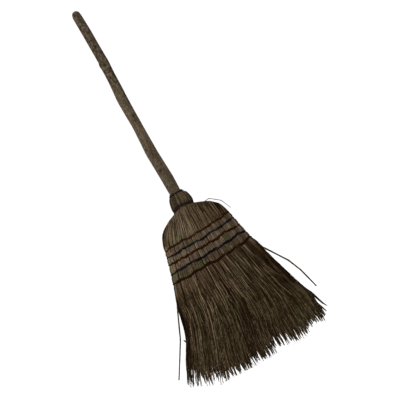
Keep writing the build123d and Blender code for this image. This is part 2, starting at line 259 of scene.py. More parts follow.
def skin(rings, share=1.0, cols=64, closed=False, split=1, **attrs):
    rings = np.asarray(rings, float)
    mid = rings.mean(2)
    step = np.linalg.norm(np.diff(mid, axis=1), axis=2)
    if closed:
        step = np.concatenate([step, np.linalg.norm(mid[:, :1] - mid[:, -1:], axis=2)], 1)
    run = np.concatenate([np.zeros((len(rings), 1)), np.cumsum(step, 1)], 1)
    N, M = rings.shape[:2]
    full = {}
    for k, v in attrs.items():
        v = np.asarray(v, float)
        full[k] = np.broadcast_to(v[:, None] if v.ndim == 1 else v, (N, M))
    return {"rings": rings, "run": run, "attrs": full, "share": share, "cols": cols, "closed": closed, "split": split}


# The third attribute carries the straw's dirt and also painted shade; on the stick it is grip dirt.
ATTRS = ("tone", "hue", "soil", "mark")


def build(name, skins, mat, seed=0):
    """One object from several skins, with its own map for each straw."""
    rng = seeded(5000 + seed)
    verts, loops, starts, bake, own = [], [], [], [], []
    attr = {k: [] for k in ATTRS}
    base, at, y0 = 0, 0, 0.0
    total = sum(s["share"] for s in skins)
    for s in skins:
        rings, run, closed, split = s["rings"], s["run"], s["closed"], s["split"]
        N, M, K, _ = rings.shape
        verts.append(rings.reshape(-1, 3) * MM)
        for k in ATTRS:
            v = s["attrs"].get(k, np.zeros((N, M)))
            attr[k].append(np.repeat(v.reshape(-1), K))
        idx = base + np.arange(N * M * K).reshape(N, M, K)
        nxt = np.roll(idx, -1, 2)
        if closed:
            up, upn = np.roll(idx, -1, 1), np.roll(nxt, -1, 1)
            quads = np.stack([idx, up, upn, nxt], -1)
        else:
            quads = np.stack([idx[:, :-1], idx[:, 1:], nxt[:, 1:], nxt[:, :-1]], -1)
        Q = quads.shape[1]
        high = s["share"] / total
        cells = N * split
        cols = min(cells, s["cols"])
        rows = -(-cells // cols)
        w, h = 1.0 / cols, high / rows
        cell = (np.arange(N)[:, None] * split + (np.arange(Q) * split // Q)[None, :])
        cellx, celly = (cell % cols) * w, y0 + (cell // cols) * h
        first = np.array([np.searchsorted(np.arange(Q) * split // Q, k) for k in range(split)] + [Q])
        seg = np.arange(Q) * split // Q
        lo, hi = run[:, first[seg]], run[:, first[seg + 1]]
        v0 = (run[:, :Q] - lo) / (hi - lo + 1e-9)
        v1 = (run[:, 1:Q + 1] - lo) / (hi - lo + 1e-9)
        j = np.arange(K) / K
        U = np.stack([j, j, j + 1.0 / K, j + 1.0 / K], -1)[None, None]
        V = np.stack([v0, v1, v1, v0], -1)[:, :, None, :]
        U, V = np.broadcast_to(U, (N, Q, K, 4)), np.broadcast_to(V, (N, Q, K, 4))
        bu = cellx[:, :, None, None] + w * (0.05 + 0.90 * U)
        bv = celly[:, :, None, None] + h * (0.07 + 0.86 * V)
        bake.append(np.stack([bu, bv], -1).reshape(-1, 2))
        R = np.stack([run[:, :Q], run[:, 1:Q + 1], run[:, 1:Q + 1], run[:, :Q]], -1)[:, :, None, :]
        shift = rng.uniform(0.0, 60.0, (N, 1, 1, 1))
        own.append(np.stack(np.broadcast_arrays(U + 1.37 * np.arange(N)[:, None, None, None], R / 20.0 + shift), -1).reshape(-1, 2))
        loops.append(quads.reshape(-1))
        starts.append(at + 4 * np.arange(N * Q * K))
        at += 4 * N * Q * K
        if not closed:
            ang = np.linspace(0.0, TAU, K, endpoint=False)
            for ring, vv, cc in ((idx[:, 0], 0.032, cell[:, 0]), (idx[:, -1, ::-1], 0.968, cell[:, -1])):
                loops.append(ring.reshape(-1))
                starts.append(at + K * np.arange(N))
                at += K * N
                ox, oy = (cc % cols) * w + w * 0.5, y0 + (cc // cols) * h + h * vv
                bake.append(np.stack([ox[:, None] + w * 0.3 * np.cos(ang), oy[:, None] + h * 0.024 * np.sin(ang)], -1).reshape(-1, 2))
                own.append(np.stack(np.broadcast_arrays(0.5 + 0.3 * np.cos(ang)[None] + 1.37 * np.arange(N)[:, None], 0.1 * np.sin(ang)[None] + shift[:, 0, 0]), -1).reshape(-1, 2))
        base += N * M * K
        y0 += high
    verts, loops, starts = np.concatenate(verts), np.concatenate(loops), np.concatenate(starts)
    me = bpy.data.meshes.new(name)
    me.vertices.add(len(verts))
    me.vertices.foreach_set("co", verts.astype(np.float32).ravel())
    me.loops.add(len(loops))
    me.loops.foreach_set("vertex_index", loops.astype(np.int32))
    me.polygons.add(len(starts))
    me.polygons.foreach_set("loop_start", starts.astype(np.int32))
    me.update(calc_edges=True)
    me.polygons.foreach_set("use_smooth", np.ones(len(starts), bool))
    for layer, data in (("straw", own), ("OFBake", bake)):
        uv = me.uv_layers.new(name=layer)
        uv.data.foreach_set("uv", np.concatenate(data).astype(np.float32).ravel())
    me.uv_layers["straw"].active_render = True
    for k in ATTRS:
        me.attributes.new(k, "FLOAT", "POINT").data.foreach_set("value", np.concatenate(attr[k]).astype(np.float32))
    me.validate()
    me.materials.append(mat)
    ob = bpy.data.objects.new(name, me)
    bpy.context.scene.collection.objects.link(ob)
    return ob


# ------------------------------------------------------------- materials
def lin(r, g, b):
    f = lambda c: c / 12.92 if c <= 0.04045 else ((c + 0.055) / 1.055) ** 2.4
    return (f(r / 255.0), f(g / 255.0), f(b / 255.0), 1.0)


class Look:
    """A small node tree around one principled shader."""

    def __init__(self, name, rough=0.7, spec=0.3, metal=0.0):
        self.mat = bpy.data.materials.new(name)
        self.mat.use_nodes = True
        self.nt = self.mat.node_tree
        self.nt.nodes.clear()
        self.bsdf = self.add("ShaderNodeBsdfPrincipled")
        out = self.add("ShaderNodeOutputMaterial")
        self.nt.links.new(self.bsdf.outputs[0], out.inputs[0])
        self.bsdf.inputs["Roughness"].default_value = rough
        self.bsdf.inputs["Specular IOR Level"].default_value = spec
        self.bsdf.inputs["Metallic"].default_value = metal

    def add(self, kind, **props):
        n = self.nt.nodes.new(kind)
        for k, v in props.items():
            setattr(n, k, v)
        return n

    def put(self, value, socket):
        if hasattr(value, "is_output"):
            self.nt.links.new(value, socket)
        else:
            socket.default_value = value

    def attr(self, name):
        return self.add("ShaderNodeAttribute", attribute_name=name).outputs["Fac"]

    def uv(self, scale):
        m = self.add("ShaderNodeMapping")
        self.nt.links.new(self.add("ShaderNodeUVMap", uv_map="straw").outputs[0], m.inputs[0])
        m.inputs["Scale"].default_value = (scale[0], scale[1], 1.0)
        return m.outputs[0]

    def place(self, scale=(1.0, 1.0, 1.0), turn=(0.0, 0.0, 0.0)):
        m = self.add("ShaderNodeMapping")
        self.nt.links.new(self.add("ShaderNodeTexCoord").outputs["Object"], m.inputs[0])
        m.inputs["Scale"].default_value = scale
        m.inputs["Rotation"].default_value = turn
        return m.outputs[0]

    def noise(self, vec, scale, detail=3.0, rough=0.55, warp=0.0):
        n = self.add("ShaderNodeTexNoise")
        self.put(vec, n.inputs["Vector"])
        n.inputs["Scale"].default_value = scale
        n.inputs["Detail"].default_value = detail
        n.inputs["Roughness"].default_value = rough
        n.inputs["Distortion"].default_value = warp
        return n.outputs["Fac"]

    def cells(self, vec, scale, feature="F1"):
        n = self.add("ShaderNodeTexVoronoi", feature=feature)
        self.put(vec, n.inputs["Vector"])
        n.inputs["Scale"].default_value = scale
        return n.outputs["Distance"]

    def waves(self, vec, scale, warp=0.0, direction="X", detail=2.0):
        n = self.add("ShaderNodeTexWave", bands_direction=direction)
        self.put(vec, n.inputs["Vector"])
        n.inputs["Scale"].default_value = scale
        n.inputs["Distortion"].default_value = warp
        n.inputs["Detail"].default_value = detail
        return n.outputs["Fac"]

    def math(self, op, a, b=0.0, clamp=False):
        n = self.add("ShaderNodeMath", operation=op, use_clamp=clamp)
        self.put(a, n.inputs[0])
        self.put(b, n.inputs[1])
        return n.outputs[0]

    def span(self, v, lo, hi, to_lo=0.0, to_hi=1.0):
        n = self.add("ShaderNodeMapRange")
        self.put(v, n.inputs[0])
        for k, x in enumerate((lo, hi, to_lo, to_hi), 1):
            n.inputs[k].default_value = x
        return n.outputs[0]

    def ramp(self, v, stops):
        n = self.add("ShaderNodeValToRGB")
        el = n.color_ramp.elements
        while len(el) < len(stops):
            el.new(0.5)
        for e, (p, c) in zip(el, stops):
            e.position, e.color = p, c
        self.put(v, n.inputs[0])
        return n.outputs[0]

    def mix(self, fac, a, b, how="MIX"):
        n = self.add("ShaderNodeMix", data_type="RGBA", blend_type=how)
        self.put(fac, n.inputs[0])
        self.put(a, n.inputs[6])
        self.put(b, n.inputs[7])
        return n.outputs[2]

    def bump(self, height, strength, distance):
        n = self.add("ShaderNodeBump")
        n.inputs["Strength"].default_value = strength
        n.inputs["Distance"].default_value = distance
        self.put(height, n.inputs["Height"])
        self.nt.links.new(n.outputs[0], self.bsdf.inputs["Normal"])

    def colour(self, c):
        self.put(c, self.bsdf.inputs["Base Color"])

    def rough(self, v):
        self.put(v, self.bsdf.inputs["Roughness"])


def straw_look(name, dark, mid, light, dirt_and_shade_tint, tints=True, spec=0.02, speckle=0.72, dye=None):
    k = Look(name, spec=spec)
    mottle = k.noise(k.uv((1.4, 3.4)), 1.0, 4.0, 0.7)
    patch = k.noise(k.uv((1.0, 0.5)), 1.0, 2.0, 0.5)
    fibre = k.noise(k.uv((16.0, 0.35)), 1.0, 3.0, 0.6)
    fac = k.math("ADD", k.math("MULTIPLY", k.attr("tone"), 0.80), k.math("MULTIPLY", mottle, speckle))
    fac = k.math("ADD", fac, k.math("MULTIPLY", k.math("ADD", patch, fibre), 0.22))
    fac = k.math("SUBTRACT", fac, 0.13 + 0.5 * speckle, True)
    c = k.ramp(fac, [(0.03, dark), (0.45, mid), (0.92, light)])
    if tints:
        hue = k.ramp(k.attr("hue"), [(0.0, lin(214, 255, 206)), (0.40, lin(255, 251, 244)), (0.60, lin(255, 249, 243)), (1.0, lin(255, 218, 226))])
        c = k.mix(1.0, c, hue, "MULTIPLY")
    spots = k.span(k.noise(k.uv((5.0, 3.0)), 1.0, 2.0), 0.58, 0.70)
    c = k.mix(k.math("MULTIPLY", spots, 0.55), c, dark)
    # This multiply darkens by dirt and by painted shade, which share one attribute and one tint.
    c = k.mix(k.attr("soil"), c, dirt_and_shade_tint, "MULTIPLY")
    if dye:
        c = k.mix(k.attr("mark"), c, dye, "MULTIPLY")
    k.colour(c)
    k.rough(k.span(mottle, 0.3, 0.7, 0.50, 0.80))
    k.bump(fibre, 0.35, 0.0004)
    return k.mat


COVER = straw_look("cover_straw_look", lin(22, 13, 1), lin(82, 70, 54), lin(136, 123, 103), lin(133, 103, 53), dye=(0.86, 0.98, 1.18, 1.0))
SWEEP = straw_look("sweep_straw_look", lin(18, 11, 0), lin(46, 36, 19), lin(146, 132, 108), lin(133, 106, 65), speckle=0.95)
# The inner straw is painted far darker than the outer straw, as the shade inside the head.
INNER = straw_look("inner_straw_look", lin(7, 5, 3), lin(26, 20, 11), lin(58, 46, 29), lin(140, 120, 90), tints=False)
BUTTS = straw_look("collar_straw_look", lin(18, 11, 3), lin(63, 53, 40), lin(112, 98, 79), lin(90, 82, 70), speckle=0.95)
STRAY = straw_look("stray_straw_look", lin(24, 15, 9), lin(54, 39, 26), lin(88, 67, 48), lin(150, 146, 140), tints=False)


def twine_look(name, deep, worn, faded, stain):
    k = Look(name, rough=0.9, spec=0.02)
    ply = k.waves(k.uv((1.0, 2.6)), 1.0, 0.6, "DIAGONAL")
    fuzz = k.noise(k.uv((9.0, 6.0)), 1.0, 4.0, 0.7)
    patch = k.noise(k.place((90.0, 90.0, 90.0)), 1.0, 3.0, 0.6)
    blot = k.noise(k.place((34.0, 34.0, 34.0)), 1.0, 2.0, 0.5)
    c = k.ramp(k.math("ADD", k.math("MULTIPLY", ply, 0.45), k.math("MULTIPLY", fuzz, 0.55)), [(0.15, deep), (0.60, worn), (1.0, faded)])
    c = k.mix(k.span(blot, 0.50, 0.62, 0.0, 0.8), c, stain)
    c = k.mix(k.span(patch, 0.55, 0.75, 0.0, 0.55), c, lin(28, 20, 8))
    dust = k.noise(k.place((58.0, 58.0, 58.0)), 1.0, 2.0, 0.5)
    c = k.mix(k.span(dust, 0.56, 0.72, 0.0, 0.55), c, lin(58, 46, 27))
    k.colour(c)
    k.bump(k.math("ADD", ply, k.math("MULTIPLY", fuzz, 0.6)), 0.6, 0.0005)
    return k.mat


TWINE = {
    "red": twine_look("twine_red", lin(16, 6, 1), lin(36, 14, 4), lin(62, 26, 9), lin(27, 17, 4)),
    "navy": twine_look("twine_navy", lin(5, 3, 3), lin(10, 7, 7), lin(22, 18, 20), lin(20, 14, 24)),
    "maroon": twine_look("twine_maroon", lin(14, 5, 1), lin(33, 11, 3), lin(58, 22, 9), lin(22, 13, 4)),
    "brown": twine_look("twine_brown", lin(10, 5, 1), lin(25, 11, 2), lin(46, 24, 8), lin(30, 10, 4)),
}


def iron_look(name, dark, rust, metal):
    k = Look(name, spec=0.06, metal=metal)
    a = k.noise(k.place(), 320.0, 5.0, 0.65)
    b = k.noise(k.place(), 1400.0, 3.0, 0.6)
    c = k.mix(k.span(a, 0.46, 0.66), dark, rust)
    c = k.mix(k.math("MULTIPLY", b, 0.3), c, lin(20, 17, 15))
    k.colour(c)
    k.rough(k.span(a, 0.35, 0.7, 0.42, 0.85))
    k.bump(k.math("ADD", a, k.math("MULTIPLY", b, 0.5)), 0.5, 0.0003)
    return k.mat


WIRE = iron_look("iron_wire_look", lin(17, 13, 10), lin(34, 22, 14), 0.0)
TACK = iron_look("tack_steel_look", lin(46, 44, 42), lin(60, 38, 25), 0.5)


def wood_look(name):
    k = Look(name, spec=0.03)
    grain = k.noise(k.place((150.0, 150.0, 6.5)), 1.0, 6.0, 0.62, 0.6)
    fine = k.noise(k.place((620.0, 620.0, 22.0)), 1.0, 4.0, 0.6)
    blotch = k.noise(k.place((30.0, 30.0, 20.0)), 1.0, 5.0, 0.62, 0.3)
    grime = k.noise(k.place((88.0, 88.0, 68.0)), 1.0, 5.0, 0.7)
    pores = k.noise(k.place((900.0, 900.0, 110.0)), 1.0, 2.0)
    fac = k.math("ADD", k.math("MULTIPLY", grain, 0.5), k.math("ADD", k.math("MULTIPLY", fine, 0.2), k.math("MULTIPLY", blotch, 0.45)))
    c = k.ramp(fac, [(0.30, lin(38, 31, 22)), (0.52, lin(69, 59, 45)), (0.70, lin(89, 78, 61)), (0.90, lin(104, 93, 75))])
    # a hand's dirt, thicker where it was held
    worn = k.math("MULTIPLY", k.span(grime, 0.40, 0.66), k.span(k.attr("soil"), 0.0, 1.0, 0.18, 1.0))
    c = k.mix(k.math("MULTIPLY", worn, 0.96), c, lin(32, 24, 17))
    c = k.mix(k.math("MULTIPLY", k.span(pores, 0.60, 0.72), 0.4), c, lin(24, 18, 12))
    speck = k.noise(k.place((330.0, 330.0, 230.0)), 1.0, 3.0, 0.7)
    c = k.mix(k.math("MULTIPLY", k.span(speck, 0.50, 0.66), 0.68), c, lin(28, 21, 14))
    c = k.mix(k.math("MULTIPLY", k.span(speck, 0.46, 0.32), 0.48), c, lin(112, 99, 79))
    # flecks of bark, dark and pale, thickest on the upper half
    fleck = k.noise(k.place((190.0, 190.0, 155.0)), 1.0, 2.0, 0.55)
    c = k.mix(k.math("MULTIPLY", k.span(fleck, 0.53, 0.66), k.span(k.attr("soil"), 0.0, 1.0, 0.10, 0.72)), c, lin(26, 19, 12))
    c = k.mix(k.math("MULTIPLY", k.span(fleck, 0.46, 0.34), k.span(k.attr("soil"), 0.0, 1.0, 0.10, 0.54)), c, lin(114, 99, 79))
    c = k.mix(k.attr("mark"), c, lin(16, 11, 7))
    c = k.mix(k.math("MULTIPLY", k.attr("soil"), 0.30), c, lin(186, 184, 181), "MULTIPLY")
    k.colour(c)
    k.rough(k.span(grime, 0.3, 0.7, 0.52, 0.78))
    k.bump(k.math("ADD", k.math("MULTIPLY", grain, 0.8), k.math("ADD", fine, k.math("MULTIPLY", pores, 0.5))), 0.4, 0.0006)
    return k.mat


WOOD = wood_look("stick_wood_look")

# ------------------------------------------------------------------ stick
SOILED_GRIP = np.array([(352.0, 0.2), (440.0, 0.5), (475.0, 0.2), (560.0, 0.08), (650.0, 0.06), (705.0, 0.14), (740.0, 0.42), (775.0, 0.95), (800.0, 1.0), (880.0, 0.98), (925.0, 0.88), (972.0, 0.80)])


def make_stick():
    rng = seeded(1)
    z = np.unique(np.concatenate([np.arange(352.0, 960.0, 2.0), np.linspace(958.0, 972.0, 12)]))[::-1]
    K = 56
    ang = np.linspace(0.0, TAU, K, endpoint=False)
    cx = pchip(STICK[:, 0], STICK[:, 1], z)
    r = pchip(STICK[:, 0], STICK[:, 2], z)
    cy = 0.9 * np.sin(z / 95.0 + 0.6) * smooth(420.0, 520.0, z) * (1.0 - smooth(760.0, 800.0, z))
    A, Z = np.meshgrid(ang, z)
    low = np.zeros_like(A)
    for _ in range(14):
        m = rng.integers(2, 5)
        low += rng.normal(0.0, 0.12) * np.cos(m * A + rng.uniform(0, TAU) + Z / rng.uniform(60.0, 200.0))
    for _ in range(26):
        m = rng.integers(5, 13)
        low += rng.normal(0.0, 0.035) * np.cos(m * A + rng.uniform(0, TAU) + Z / rng.uniform(40.0, 160.0))
    mark = np.zeros_like(A)

    def near(z0, a0, dz, da):
        d = (A - a0 + math.pi) % TAU - math.pi
        return np.exp(-((Z - z0) / dz) ** 2 - (d * 12.0 / da) ** 2)

    # the stub of a side shoot on the left, and the small knots on the front
    low += 0.9 * near(815.0, math.pi * 1.03, 6.5, 7.0) - 0.7 * near(826.0, math.pi * 1.03, 4.5, 6.0)
    mark += 0.35 * near(812.0, math.pi * 1.06, 3.0, 5.0)
    for z0, x0, size, deep in ((664.5, 8.1, 2.8, 0.95), (649.7, 5.8, 3.6, 0.75), (510.1, 1.7, 4.2, 0.85), (742.0, -2.0, 3.0, 0.45), (590.0, 9.0, 2.6, 0.4)):
        rr = float(pchip(STICK[:, 0], STICK[:, 2], z0))
        c0 = float(pchip(STICK[:, 0], STICK[:, 1], z0))
        a0 = -math.acos(max(-1.0, min(1.0, (x0 - c0) / rr)))
        low += 0.5 * near(z0, a0, size * 2.2, size * 2.0) - 0.6 * near(z0, a0, size * 0.8, size * 0.7)
        mark += deep * near(z0, a0, size, size * 0.8)
    for _ in range(7):
        z0, a0, s = rng.uniform(480.0, 900.0), rng.uniform(0.2, math.pi - 0.2), rng.uniform(1.8, 3.4)
        low += 0.5 * near(z0, a0, s * 2.2, s * 2.0) - 0.6 * near(z0, a0, s * 0.8, s * 0.7)
        mark += rng.uniform(0.4, 0.8) * near(z0, a0, s, s * 0.8)
    # drying checks: long shallow cracks along the grain
    for _ in range(22):
        z0, ln, a0, wander = rng.uniform(470.0, 950.0), rng.uniform(18.0, 70.0), rng.uniform(0, TAU), rng.normal(0, 0.0012)
        d = (A - a0 - wander * (Z - z0) + math.pi) % TAU - math.pi
        c = np.exp(-((d * 12.0 / 0.8) ** 2)) * (1.0 - smooth(0.55, 1.0, np.abs(Z - z0) / ln))
        low -= 0.32 * c
        mark += 0.5 * c
    # the end grain at the top is rounded off by wear, with a small split
    top = smooth(955.0, 971.0, Z)
    low *= 1.0 - 0.7 * top
    live = smooth(352.0, 470.0, Z) * 0.85 + 0.15
    R = r[:, None] + low * live
    R = np.maximum(R, 0.4)
    rings = np.stack([cx[:, None] + R * np.cos(A), cy[:, None] + R * np.sin(A), Z], -1)[None]
    soil = pchip(SOILED_GRIP[:, 0], SOILED_GRIP[:, 1], z)
    s = skin(rings, split=6, cols=6, soil=soil[None])
    ob = build("stick", [s], WOOD, 1)
    ob.data.attributes["mark"].data.foreach_set("value", np.clip(mark, 0.0, 0.92).astype(np.float32).ravel())
    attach(ob, "broom")
    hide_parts("handle")


make_stick()


# ----------------------------------------------------------------- collar
def make_collar():
    rng = seeded(102)
    zs = np.array([396.0, 399.0, 402.0, 404.0, 406.0, 408.0, 409.6, 411.4, 414.0, 417.0, 420.5, 424.0, 427.5, 431.0, 434.5, 437.5, 440.0, 441.6, 443.0, 444.6, 446.2])
    skins = []
    for layer, count, inset, rad in ((0, 62, 0.0, 1.38), (1, 56, 1.9, 1.3)):
        th = (np.arange(count) + 0.5 * layer) / count * TAU + rng.normal(0, 0.016, count)
        top = rng.uniform(0.2, 2.6, count) - (0.6 if layer else 0.0)
        z = np.repeat(zs[None], count, 0)
        z = np.concatenate([z, (446.4 + top)[:, None]], 1)
        r = pchip(COLLAR[:, 0], COLLAR[:, 1], z) - inset + rng.normal(0, 0.16, count)[:, None] * smooth(408.0, 416.0, z) * (1 - smooth(438.0, 443.0, z))
        r = np.maximum(r, 15.4)
        sway = th[:, None] + rng.normal(0, 0.012, count)[:, None] * np.sin((z - 396.0) / 50.0 * math.pi)
        full = 0.9 * smooth(410.0, 422.0, z) * smooth(446.0, 436.0, z)
        path = np.stack([X_NECK + full + (r + 0.7 * full) * np.cos(sway), (r + 0.7 * full) * np.sin(sway), z + arch(sway, z)], -1)[:, ::-1]
        fit = pchip(COLLAR[:, 0], COLLAR[:, 1], z)[:, ::-1] / 26.2
        radius = (rad + rng.normal(0, 0.13, count))[:, None] * (0.30 + 0.70 * fit)
        tone = np.where(rng.uniform(size=count) < 0.09, rng.uniform(0.10, 0.28, count), 0.55 + (rng.beta(1.6, 1.6, count) - 0.5) * 0.7)
        # painted shade where the neck wire and the top wire pinch the stalks, and on both flanks of the collar; the
        # rest is the stalks' own dirt
        soil = 0.16 + 0.5 * np.exp(-((z[:, ::-1] - 409.0) / 3.4) ** 2) + 0.55 * np.exp(-((z[:, ::-1] - 443.5) / 3.0) ** 2) + 0.12 * rng.uniform(size=count)[:, None] + 0.42 * smooth(-0.4, -1.0, np.cos(th))[:, None] + 0.36 * smooth(0.45, 1.0, np.cos(th))[:, None]
        rings = tubes(path, radius, 7, ref=(0.37, 0.93, 0.0))
        skins.append(skin(rings, cols=31, tone=tone, hue=rng.beta(7.0, 7.0, count), soil=np.clip(soil, 0, 0.9)))
    # the imported butts behind the outer stalks, painted dark as the shade behind them
    ang = np.linspace(0, TAU, 96, endpoint=False)
    zz = np.linspace(445.2, 396.5, 26)
    rr = np.maximum(pchip(COLLAR[:, 0], COLLAR[:, 1], zz) - 2.2, 14.6)
    A, Z = np.meshgrid(ang, zz)
    R = rr[:, None] + 0.35 * np.cos(32 * A)
    rings = np.stack([X_NECK + R * np.cos(A), R * np.sin(A), Z + arch(A, Z)], -1)[None]
    skins.append(skin(rings, share=0.4, split=2, cols=2, tone=[0.25], hue=[0.5], soil=[0.6]))
    ob = build("collar", skins, BUTTS, 2)
    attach(ob, "broom")
    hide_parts("collar_stalks")


make_collar()


# ------------------------------------------------------------ straw layers
# The tips stand in narrow points, with gaps between that run through the sweep.
def tip_columns():
    rng = seeded(3)
    at = [-187.0]
    while at[-1] < 176.0:
        near, far = np.interp(at[-1], [-120.0, -20.0, 60.0], [6.2, 4.8, 3.8]), np.interp(at[-1], [-120.0, -20.0, 60.0], [10.6, 7.8, 6.1])
        at.append(at[-1] + rng.uniform(near, far))
    at = np.array(at + [183.0, 187.0])
    n = len(at)
    calm = np.interp(at, [-110.0, -70.0, 20.0, 45.0], [1.0, 0.7, 0.7, 0.9])
    short = rng.uniform(0.0, 9.5, n) * (rng.uniform(size=n) < 0.46) * calm
    kind = rng.uniform(size=n + 1)
    gap = np.where(kind < 0.22, rng.uniform(38.0, 56.0, n + 1), np.where(kind < 0.48, rng.uniform(7.0, 15.0, n + 1), rng.uniform(20.0, 40.0, n + 1)))
    gap *= np.interp(np.append(at, 200.0), [-190.0, -120.0, -85.0, -45.0, 20.0, 45.0, 100.0, 190.0], [1.55, 1.50, 1.15, 0.92, 0.9, 0.85, 0.70, 0.66])
    return at, short, rng.normal(0.0, 1.3, n), gap


COLUMN_X, COLUMN_SHORT, COLUMN_LEAN, GAP_REACH = tip_columns()
BACKWARD = 1.0 / 1980.0     # the gaps open a little towards the back


def column_of(x, y):
    base = 51.0 + (x - 51.0) / (1.0 + y * BACKWARD)
    k = np.abs(COLUMN_X[None] - base[:, None]).argmin(1)
    return k, 51.0 + (COLUMN_X[k] - 51.0) * (1.0 + y * BACKWARD)


def to_points(x, y, z, share, reach):
    """Draws straw tips into the nearest point and opens the gap beside them."""
    k, xc = column_of(x[:, -1], y[:, -1])
    tall = reach * GAP_REACH[k + (x[:, -1] > xc)]
    h = z - (tip_height(x[:, -1]) + 3.0)[:, None]
    pull = share[:, None] * (1.0 - smooth(0.25, 1.0, np.maximum(h, 0.0) / tall[:, None]))
    return x + pull * (xc - x[:, -1])[:, None] + COLUMN_LEAN[k][:, None] * (1.0 - smooth(0.0, 60.0, np.maximum(h, 0.0)))


def splay(x, z):
    """Towards the tips the straws of both flanks go on leaning outwards."""
    out = np.interp(x, [-180.0, -142.0, -97.0, -60.0, -20.0, 30.0, 77.0, 113.0, 160.0, 185.0], [-0.36, -0.33, -0.26, -0.10, 0.0, 0.0, 0.08, 0.11, 0.09, 0.03])
    d = np.maximum(0.0, 76.0 - z)
    return out * d * d / (d + 20.0)


def leant(x, z):
    """Right of the middle the loose straw leans away to the right, which leaves a thin place."""
    cx, a, _, _ = head(z)
    c0, a0, _, _ = head(np.full(np.shape(z), 250.0))
    at = c0 + (x - cx) / a * a0
    run = 1.0 - (1.0 - np.clip((258.0 - z) / 122.0, 0.0, 1.0)) ** 1.6
    return 15.0 * smooth(-14.0, 22.0, at) * smooth(118.0, 50.0, at) * run * (1.0 - 0.6 * smooth(150.0, 30.0, z))


def thinned(end, x, rng):
    """The ends are frayed, most of all on the left, and worn shorter at the two corners."""
    gone = rng.uniform(size=len(end)) < 0.40 * smooth(168.0, 180.0, x) + 0.18 * smooth(-104.0, -140.0, x) + 0.14 * smooth(-166.0, -180.0, x)
    fray = np.interp(x, [-170.0, -110.0, -70.0, 20.0, 50.0, 170.0], [40.0, 34.0, 20.0, 18.0, 18.0, 17.0])
    whole = rng.uniform(size=len(end)) < np.interp(x, [-170.0, -110.0, -70.0, 20.0, 170.0], [0.2, 0.26, 0.46, 0.48, 0.42])
    end = end + np.where(whole, rng.uniform(0.0, 2.5, len(end)), fray * np.where(x < -90.0, rng.beta(3.0, 0.8, len(end)), rng.beta(1.4, 0.9, len(end))))
    return np.where(gone, np.maximum(end, rng.uniform(48.0, 90.0, len(end))), end)


SOIL_Z = np.array([-10.0, 40.0, 120.0, 200.0, 250.0, 275.0, 288.0, 420.0])
SOIL = np.array([0.20, 0.22, 0.25, 0.27, 0.25, 0.17, 0.05, 0.05])


# dark crevices that open below the last seam, where bundles part
part_rng = seeded(7)
CREVICES = [(t, min(1.6, 0.4 + part_rng.exponential(0.5)), part_rng.uniform(60.0, 200.0)) for t in even_angles(40, 230.0, part_rng, 0.49)]


def parted(t, x, z):
    """Pushes straws off the crevices, in x."""
    push = np.zeros_like(x)
    for tc, wide, low in CREVICES:
        xc, _ = on_head(np.full_like(z, tc), z)
        same = np.sign(np.sin(t)) == np.sign(math.sin(tc))
        d = x - xc
        live = smooth(low - 30.0, low + 30.0, z) * smooth(262.0, 240.0, z)
        push += same * wide * np.tanh(d / 0.8) * np.exp(-((d / 4.0) ** 2)) * live
    return x + push


def dirt_and_shade_of(x, z, own):
    """Darkening of the straw: heavier below the seams, with painted shade on the right side, on the right shoulder and
    along both edges.
    """
    # painted shade: the right side, and most of all the right shoulder, darker as turned from the light
    side = smooth(-30.0, 110.0, x) * (0.05 + 0.14 * smooth(60.0, 170.0, z) * smooth(300.0, 235.0, z) + 0.10 * smooth(235.0, 300.0, z)) + 0.58 * smooth(-12.0, 36.0, x) * smooth(336.0, 350.0, z)
    cx, a, _, _ = head(z)
    u = (x - cx) / a
    left = -0.34 * smooth(30.0, 110.0, np.abs(x - 8.0)) * smooth(150.0, 70.0, z) * (1.0 - smooth(0.80, 0.95, -u) * smooth(60.0, 85.0, z))
    left = left + 0.15 * smooth(-30.0, -60.0, x) * smooth(130.0, 190.0, z) * smooth(246.0, 226.0, z)
    # painted shade along both edges of the head, most along the left shoulder's rim
    edge_shade = 0.12 * smooth(0.84, 0.98, np.abs(u)) * smooth(390.0, 370.0, z) + 0.74 * smooth(0.72, 0.92, -u) * smooth(338.0, 346.0, z) * smooth(392.0, 376.0, z)
    free = smooth(262.0, 240.0, z) * smooth(45.0, 85.0, z)
    edge_shade = edge_shade + (0.46 * smooth(0.74, 0.92, u) * smooth(95.0, 135.0, z) + 0.46 * smooth(0.84, 0.97, -u) * smooth(70.0, 100.0, z) * smooth(238.0, 208.0, z)) * free
    mid = 0.28 * np.exp(-(((x - 2.0 - 9.0 * smooth(215.0, 180.0, z)) / 13.0) ** 2)) * free
    return np.clip(pchip(SOIL_Z, SOIL, z) + own[:, None] + side + left + edge_shade + mid, 0.0, 0.94)


# patches of greener and redder straw between the seams, by cell and row
patch_rng = seeded(6)
PATCH = patch_rng.normal(0.0, 0.27, (len(CELL_EDGES) + 2, len(ROWS) + 1))
PATCH = (np.roll(PATCH, 1, 0) + 2.0 * PATCH + np.roll(PATCH, -1, 0)) / 4.0
UPPER_Z = np.array([417.0, 411.0, 407.5, 405.4, 403.8, 402.4, 401.0, 399.4, 397.4, 395.0, 392.0, 388.4, 384.0, 379.0, 373.0, 366.0, 358.0, 350.0, 345.0, 341.0, 338.0, 335.0, 331.5, 327.5, 323.5, 320.5, 317.5, 314.0, 310.0, 306.0, 303.0, 300.0, 296.0, 291.0, 286.0, 283.0, 280.0, 275.5, 270.0, 265.0, 261.5, 258.0, 253.5, 247.0])


